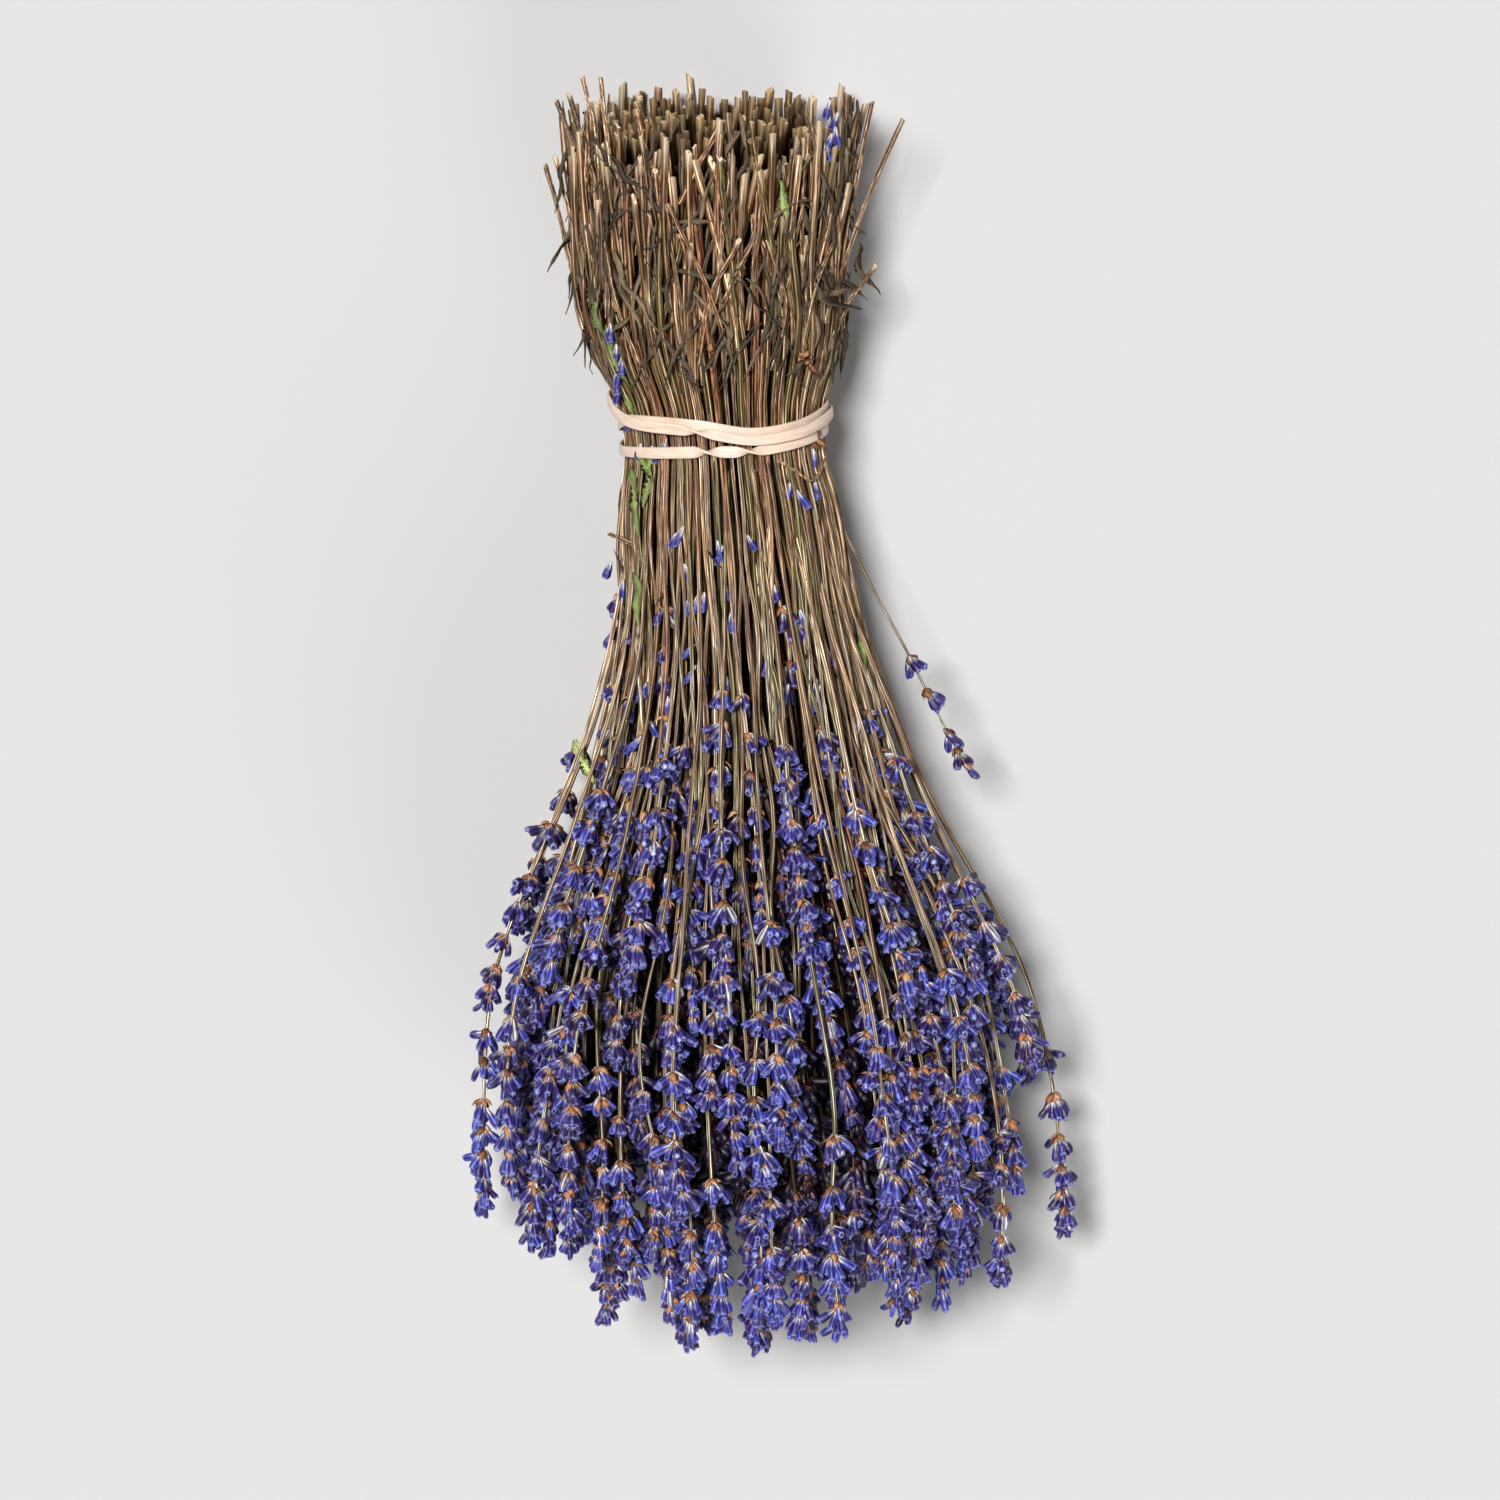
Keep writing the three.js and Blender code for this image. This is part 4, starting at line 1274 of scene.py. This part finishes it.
def finish_colour(tree, shader, grain, colour, strength, distance, light=None, tint=(1.4, 1.3)):
    """Joins the colour, with painted shade for what lies deep inside, and lets the streaks stand
    out.

    tint says how much faster green and blue darken than red does in that painted shade.
    """
    light = light or grain["Light"]
    green, blue = (math_node(tree, "POWER", light, power) for power in tint)
    light = node(tree, "ShaderNodeCombineColor", {0: light, 1: green, 2: blue})
    colour = multiply(tree, colour, light.outputs[0])
    tree.links.new(colour, shader.inputs["Base Color"])
    bump = node(tree, "ShaderNodeBump", {
        "Height": grain["Streak"], "Strength": strength, "Distance": distance * MM})
    tree.links.new(bump.outputs[0], shader.inputs["Normal"])


def with_cut_end(tree, grain, colour, cut_end):
    """A stem's colour, with a pale cut face round darker pith and a pale edge beside the cut."""
    reach = math_node(tree, "MULTIPLY_ADD", grain["Chance"], 0.06, 0.012)
    edge = math_node(tree, "DIVIDE", grain["Along"], reach)
    edge = math_node(tree, "SUBTRACT", 1.0, edge, clamp=True)
    uneven = math_node(tree, "ADD", grain["Mottle"], 0.3)
    edge = math_node(tree, "MULTIPLY", edge, uneven, clamp=True)
    colour = mix(tree, edge, colour, cut_end)
    face = math_node(tree, "LESS_THAN", grain["Along"], FACE_GRAIN)
    colour = mix(tree, face, colour, scaled(cut_end, 1.1))
    pith = math_node(tree, "LESS_THAN", grain["Along"], PITH_GRAIN)
    return mix(tree, math_node(tree, "MULTIPLY", pith, 0.7), colour, PITH)


def stem_material(finish):
    """Dried stems: grey brown to tan, streaked, with pale cut ends, and paler by the flowers."""
    material, tree, shader = new_material("dried_stem", 0.42, 0.35)
    grain = grain_node(tree, streak_length=15.0, streak_number=1.5, mottle_size=9.0)
    base = tuple(finish.stem)
    kinds = ramp(tree, grain["Tone"], (
        (0.00, scaled(base, 0.45, 0.66, 0.45)), (0.14, scaled(base, 0.85, 1.15, 0.95)),
        (0.30, base), (0.46, scaled(base, 1.3, 1.5, 1.75)), (0.60, scaled(base, 0.5, 0.42, 0.38)),
        (0.74, scaled(base, 2.2, 2.55, 3.0)), (0.86, scaled(base, 1.15, 1.15, 1.15)),
        (1.00, scaled(base, 0.85, 0.48, 0.42)),
    ))
    streaks = ramp(tree, grain["Streak"], (
        (0.33, (0.29, 0.20, 0.15)), (0.5, (0.97, 0.93, 0.9)), (0.66, (2.75, 3.6, 4.5))))
    # Painted highlight along the stem's four corners and painted shade on the flat sides between
    # them, broken up by the streaks.
    ribs = math_node(tree, "MULTIPLY_ADD", wave(tree, grain, 4), 0.3, grain["Streak"])
    ribs = ramp(tree, ribs, (
        (0.25, (0.38, 0.25, 0.18)), (0.5, (0.85, 0.81, 0.78)), (0.78, (1.95, 2.25, 2.5))))
    streaks = multiply(tree, streaks, ribs)
    colour = multiply(tree, kinds, streaks)
    mottled = ramp(tree, grain["Mottle"], ((0.35, (0.66, 0.66, 0.62)), (0.65, (1.3, 1.26, 1.2))))
    colour = multiply(tree, colour, mottled, 0.9)
    # Stems darker and redder towards their cut ends.
    darker_by_cut = ramp(tree, grain["Along"], ((0.1, (0.78, 0.66, 0.58)), (0.34, (0.99, 0.93, 0.88))))
    colour = multiply(tree, colour, darker_by_cut)
    near_flowers = ramp(tree, grain["Along"], ((0.5, 0), (0.76, 1)))
    pale = multiply(tree, PALE_STEM, streaks)
    colour = mix(tree, math_node(tree, "MULTIPLY", near_flowers, 0.5), colour, pale)
    colour = with_cut_end(tree, grain, colour, tuple(finish.cut_end))
    # Painted shade of stems deep in the bunch, less of it on and by the cut ends.
    inside = ramp(tree, grain["Along"], ((0.0, 0.3), (0.012, 0.55), (0.035, 0.95), (0.07, 1)))
    shade = math_node(tree, "MULTIPLY", math_node(tree, "SUBTRACT", 1.0, grain["Light"]), inside)
    light = math_node(tree, "SUBTRACT", 1.0, shade)
    finish_colour(tree, shader, grain, colour, 0.6, 0.25, light, (1.2, 1.7))
    return material


def calyx_material(finish):
    """Flower tubes: grey at the foot, blue-violet, ribbed, a painted highlight on the rim, painted
    shade in the mouth.
    """
    material, tree, shader = new_material("dried_flower", 0.42, 0.45)
    grain = grain_node(tree, streak_length=2.4, streak_number=2.6, mottle_size=2.5)
    violet, foot = tuple(finish.flower), tuple(finish.flower_base)
    tones = ramp(tree, grain["Tone"], (
        (0.0, scaled(violet, 0.6, 0.4, 0.35)), (0.25, scaled(violet, 0.85, 0.68, 0.7)),
        (0.5, violet), (0.78, scaled(violet, 1.12, 1.95, 1.68)),
        (BLUEST_TONE, scaled(violet, 1.9, 2.6, 2.1)), (0.94, FADED), (1.0, MOST_FADED),
    ))
    foot_share = ramp(tree, grain["Along"], ((0.11, 1.0), (0.25, 0.55), (0.42, 0)))
    uneven = math_node(tree, "MULTIPLY_ADD", grain["Streak"], 1.6, -0.1)
    foot_share = math_node(tree, "MULTIPLY", foot_share, uneven, clamp=True)
    colour = mix(tree, foot_share, tones, foot)
    # Painted highlight on the crests of the ribs and painted shade between them.
    ribs = math_node(tree, "MULTIPLY_ADD", wave(tree, grain, 5), 0.5, 0.5)
    ribs = ramp(tree, ribs, ((0.0, (0.31, 0.22, 0.28)), (1.0, (1.75, 2.0, 1.9))))
    colour = multiply(tree, colour, ribs)
    hairs = ramp(tree, grain["Streak"], ((0.35, 0.5), (0.64, 1.75)))
    colour = multiply(tree, colour, hairs, 0.85)
    # Painted shade: the side of each calyx that faces its stem is darker.
    inward = ramp(tree, wave(tree, grain, 1), ((0.0, 1), (0.8, 0.5)))
    colour = multiply(tree, colour, inward)
    # Painted highlight: a pale band round the calyx's rim.
    rim = ramp(tree, grain["Along"], ((0.76, 0), (0.83, 1), (0.90, 0.8), (0.93, 0)))
    colour = mix(tree, math_node(tree, "MULTIPLY", rim, 0.6), colour, RIM_HIGHLIGHT)
    # Painted shade: most mouths are painted nearly black inside, the rest pale.
    mouth = ramp(tree, grain["Along"], ((0.915, 0), (0.95, 1)))
    often = math_node(tree, "GREATER_THAN", grain["Chance"], 0.72)
    colour = mix(tree, mouth, colour, mix(tree, often, MOUTH_SHADE, PALE_MOUTH))
    finish_colour(tree, shader, grain, colour, 0.5, 0.2)
    return material


def bract_material(finish):
    """Papery bracts: rusty, with pale dry edges and points."""
    material, tree, shader = new_material("papery_bract", 0.55)
    grain = grain_node(tree, streak_length=1.4, streak_number=2.2, mottle_size=2.2)
    base = tuple(finish.bract)
    tones = ramp(tree, grain["Tone"], (
        (0.0, scaled(base, 0.3, 0.26, 0.26)), (0.4, scaled(base, 0.8)),
        (0.75, scaled(base, 1.3, 1.4, 1.6)), (1.0, scaled(base, 1.7, 2.7, 4.5)),
    ))
    edge = ramp(tree, wave(tree, grain, 2), ((0.0, 1), (0.35, 0)))
    point = ramp(tree, grain["Along"], ((0.6, 0), (0.95, 1)))
    pale = math_node(tree, "MULTIPLY", math_node(tree, "MAXIMUM", edge, point), 0.25)
    colour = mix(tree, pale, tones, DRY_EDGE)
    veins = ramp(tree, grain["Streak"], ((0.36, 0.3), (0.62, 1.6)))
    colour = multiply(tree, colour, veins, 0.9)
    finish_colour(tree, shader, grain, colour, 0.5, 0.15)
    return material


def leaf_material(name, colour_of, lighter):
    """Shrivelled leaves and blades, veined along their length."""
    material, tree, shader = new_material(name, 0.6)
    grain = grain_node(tree, streak_length=7.0, streak_number=2.0, mottle_size=4.0)
    base = tuple(colour_of)
    tones = ramp(tree, grain["Tone"], ((0.0, scaled(base, 0.5)), (0.6, base), (1.0, lighter)))
    veins = ramp(tree, grain["Streak"], ((0.33, 0.5), (0.66, 1.7)))
    colour = multiply(tree, tones, veins)
    mottled = ramp(tree, grain["Mottle"], ((0.35, 0.65), (0.65, 1.35)))
    colour = multiply(tree, colour, mottled, 0.9)
    finish_colour(tree, shader, grain, colour, 0.7, 0.3)
    return material


def latex_material(finish):
    """Natural rubber: cream, satin, faintly lined and stained."""
    material, tree, shader = new_material("natural_rubber", 0.45)
    grain = grain_node(tree, streak_length=40.0, streak_number=1.4, mottle_size=34.0)
    lines = ramp(tree, grain["Streak"], ((0.3, (0.86, 0.83, 0.78)), (0.62, (1.08, 1.1, 1.14))))
    colour = multiply(tree, tuple(finish.latex), lines, 0.9)
    stained = ramp(tree, grain["Mottle"], ((0.54, 0), (0.70, 1)))
    colour = mix(tree, math_node(tree, "MULTIPLY", stained, 0.45), colour, STAIN)
    finish_colour(tree, shader, grain, colour, 0.35, 0.2)
    return material


def plant_materials(finish):
    """The materials in the order of the finishes."""
    makers = {
        "dried_stem": lambda: stem_material(finish),
        "dried_flower": lambda: calyx_material(finish),
        "papery_bract": lambda: bract_material(finish),
        "dried_leaf": lambda: leaf_material("dried_leaf", finish.leaf, PALE_LEAF),
        "green_blade": lambda: leaf_material("green_blade", finish.green, PALE_BLADE),
    }
    return [bpy.data.materials.get(name) or make() for name, make in makers.items()]


# ---- operators ----------------------------------------------------------------------------------

def dress(piece, node_name):
    """Puts a piece in its node's place."""
    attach(piece, "root")
    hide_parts(node_name)


class LAVENDER_OT_grow_handfuls(Operator):
    """Grow the sprigs of every handful, from their cut ends to their flower tips."""
    bl_idname = "lavender.grow_handfuls"
    bl_label = "Grow handfuls"

    def execute(self, context):
        settings = context.scene.lavender
        skins = [Skin() for _ in range(sum(RING_COUNTS))]
        grown = [0] * len(skins)
        rng = np.random.default_rng((SEED, 1))
        for home, sprig in plant(settings):
            grow_sprig(skins[home], rng, sprig, settings, grown[home])
            grown[home] += 1
        Strays(skins, settings).grow()
        materials = plant_materials(settings.finish)
        shift = frame_shift()
        for number, skin in enumerate(skins, 1):
            piece = skin.build(f"sprigs_{number:02d}", shift, materials)
            dress(piece, f"handful_{number:02d}")
        return {"FINISHED"}


class LAVENDER_OT_grow_outer_sprigs(Operator):
    """Grow the single sprigs that lie on the outside of the bunch."""
    bl_idname = "lavender.grow_outer_sprigs"
    bl_label = "Grow outer sprigs"

    def execute(self, context):
        settings = context.scene.lavender
        materials = plant_materials(settings.finish)
        shift = frame_shift()
        for number, (side, flowers, whorls, lean, cut) in enumerate(OUTER_SPRIGS, 1):
            rng = np.random.default_rng((SEED, 100 + number))
            skin = Skin()
            slender = lean > LEANS_FAR
            sprig = SimpleNamespace(
                side=math.radians(side), flowers=flowers, whorls=whorls, lean_out=lean, cut=cut,
                tip=flowers - whorls * WHORL_PITCH, bare=False, slender=slender,
                thick=0.55 if slender else rng.uniform(0.85, 1.05),
                sway=swaying(rng, settings.stems.sway / MM),
                tone=0.62 if slender else rng.uniform(0.25, 0.9), depth=0.0)
            grow_sprig(skin, rng, sprig, settings, 0)
            piece = skin.build(f"single_sprig_{number:02d}", shift, materials)
            dress(piece, f"outer_sprig_{number:02d}")
        return {"FINISHED"}


class LAVENDER_OT_wind_rubber_band(Operator):
    """Wind the rubber band three times round the neck."""
    bl_idname = "lavender.wind_rubber_band"
    bl_label = "Wind rubber band"

    def execute(self, context):
        steps, sides = FINE_BAND_STEPS, FINE_BAND_SIDES
        turn = np.arange(steps) / steps * 360 * BAND_TURNS
        corner = np.arange(sides) / sides * 2 * math.pi
        along, out = (
            size * share * np.sign(curve) * np.abs(curve) ** power
            for size, share, curve, power in zip(
                (BAND_WIDTH, BAND_THICKNESS), BAND_SECTION, (np.sin(corner), np.cos(corner)),
                BAND_SQUARENESS))
        twist, edgewise = np.zeros(steps), np.zeros(steps)
        for at in BAND_TWISTS:
            share = smooth(at - TWIST_REACH, at + TWIST_REACH, turn)
            twist += math.pi * share
            edgewise += 4 * share * (1 - share)
        varied = BAND_VARIES * np.sin(np.radians(turn) * BAND_VARIES_BY)
        width = 1 - TWIST_NARROWING * edgewise + varied
        rings = []
        for i in range(sides):
            w, o = along[i] * width, out[i]
            rings.append(band_points(turn, w * np.cos(twist) - o * np.sin(twist),
                                     w * np.sin(twist) + o * np.cos(twist)
                                     + TWIST_RISE * edgewise))
        skin = Skin()
        grain = np.concatenate([[0.0], np.arange(steps) / steps, [1.0]])
        skin.loft(np.stack(rings, 1)[None], grain, BAND_TILES, 0, 0.5, 0, 0, closed=True)
        latex = latex_material(context.scene.lavender.finish)
        piece = skin.build("band", frame_shift(), [latex])
        dress(piece, "rubber_band")
        return {"FINISHED"}


class LAVENDER_OT_set_stage(Operator):
    """Lay the floor, hang the lamps and set up the camera."""
    bl_idname = "lavender.set_stage"
    bl_label = "Set stage"

    def execute(self, context):
        stage = context.scene.lavender.stage
        bpy.ops.mesh.primitive_plane_add(size=FLOOR_SIZE, location=(0, 0, 0))
        floor = context.object
        floor.name = "floor"
        material, _, shader = new_material("pale_floor", 0.9)
        shader.inputs["Base Color"].default_value = (*stage.floor, 1)
        floor.data.materials.append(material)
        self.lamp("key", KEY_FROM, KEY_ANGLE, stage.key_strength)
        self.lamp("soft_fill", FILL_FROM, FILL_ANGLE, stage.key_strength * FILL_SHARE)
        self.surroundings(context, stage)
        context.scene.view_settings.view_transform = "Standard"
        self.camera(context, stage)
        return {"FINISHED"}

    @staticmethod
    def surroundings(context, stage):
        """Pale all round for the eye, and a faint warm light for the bunch."""
        world = bpy.data.worlds.new("studio")
        world.use_nodes = True
        tree = world.node_tree
        light = tree.nodes["Background"]
        light.inputs["Color"].default_value = WARM_LIGHT
        light.inputs["Strength"].default_value = stage.fill
        seen = node(tree, "ShaderNodeBackground", {"Color": PALE_WALL, "Strength": 1.0})
        path = tree.nodes.new("ShaderNodeLightPath")
        both = tree.nodes.new("ShaderNodeMixShader")
        tree.links.new(path.outputs["Is Camera Ray"], both.inputs[0])
        tree.links.new(light.outputs[0], both.inputs[1])
        tree.links.new(seen.outputs[0], both.inputs[2])
        tree.links.new(both.outputs[0], tree.nodes["World Output"].inputs["Surface"])
        context.scene.world = world

    @staticmethod
    def lamp(name, location, angle, strength):
        """A soft even light from far off, that points at the bunch."""
        data = bpy.data.lights.new(name, "SUN")
        data.angle, data.energy = angle, strength
        lamp = bpy.data.objects.new(name, data)
        lamp.location = location
        toward = -lamp.location
        lamp.rotation_euler = toward.to_track_quat("-Z", "Y").to_euler()
        bpy.context.scene.collection.objects.link(lamp)

    @staticmethod
    def camera(context, stage):
        """The camera looks down on the bunch, a little from the side of its cut ends."""
        data = bpy.data.cameras.new("camera")
        data.sensor_width = SENSOR_WIDTH
        data.lens = data.sensor_width * stage.distance / stage.view_width
        camera = bpy.data.objects.new("camera", data)
        aim = (AIM + frame_shift()) * MM
        back = np.array((0, math.sin(stage.tilt), math.cos(stage.tilt)))
        camera.location = aim + back * stage.distance
        camera.rotation_euler = (-stage.tilt, 0, 0)
        context.scene.collection.objects.link(camera)
        context.scene.camera = camera


OPERATORS = (
    LAVENDER_OT_grow_handfuls,
    LAVENDER_OT_grow_outer_sprigs,
    LAVENDER_OT_wind_rubber_band,
    LAVENDER_OT_set_stage,
)


class LAVENDER_PT_bunch(Panel):
    """Lists the steps that make the bunch, and its settings."""
    bl_idname = "LAVENDER_PT_bunch"
    bl_label = "Lavender bunch"
    bl_space_type = "VIEW_3D"
    bl_region_type = "UI"
    bl_category = "Lavender"

    def draw(self, context):
        for operator in OPERATORS:
            self.layout.operator(operator.bl_idname)
        settings = context.scene.lavender
        for group in (settings.stems, settings.flowers, settings.finish, settings.stage):
            box = self.layout.box()
            for name in group.bl_rna.properties.keys():
                if name not in ("rna_type", "name"):
                    box.prop(group, name)


CLASSES = (
    StemSettings, FlowerSettings, FinishSettings, StageSettings, LavenderSettings,
    *OPERATORS, LAVENDER_PT_bunch,
)


def register():
    """Adds the classes and the scene's settings."""
    for cls in CLASSES:
        bpy.utils.register_class(cls)
    bpy.types.Scene.lavender = PointerProperty(type=LavenderSettings)


def unregister():
    """Takes them away again."""
    del bpy.types.Scene.lavender
    for cls in reversed(CLASSES):
        bpy.utils.unregister_class(cls)


def main():
    """Makes the bunch and its stage."""
    register()
    for operator in OPERATORS:
        module, name = operator.bl_idname.split(".")
        getattr(getattr(bpy.ops, module), name)()


if __name__ == "__main__":
    main()
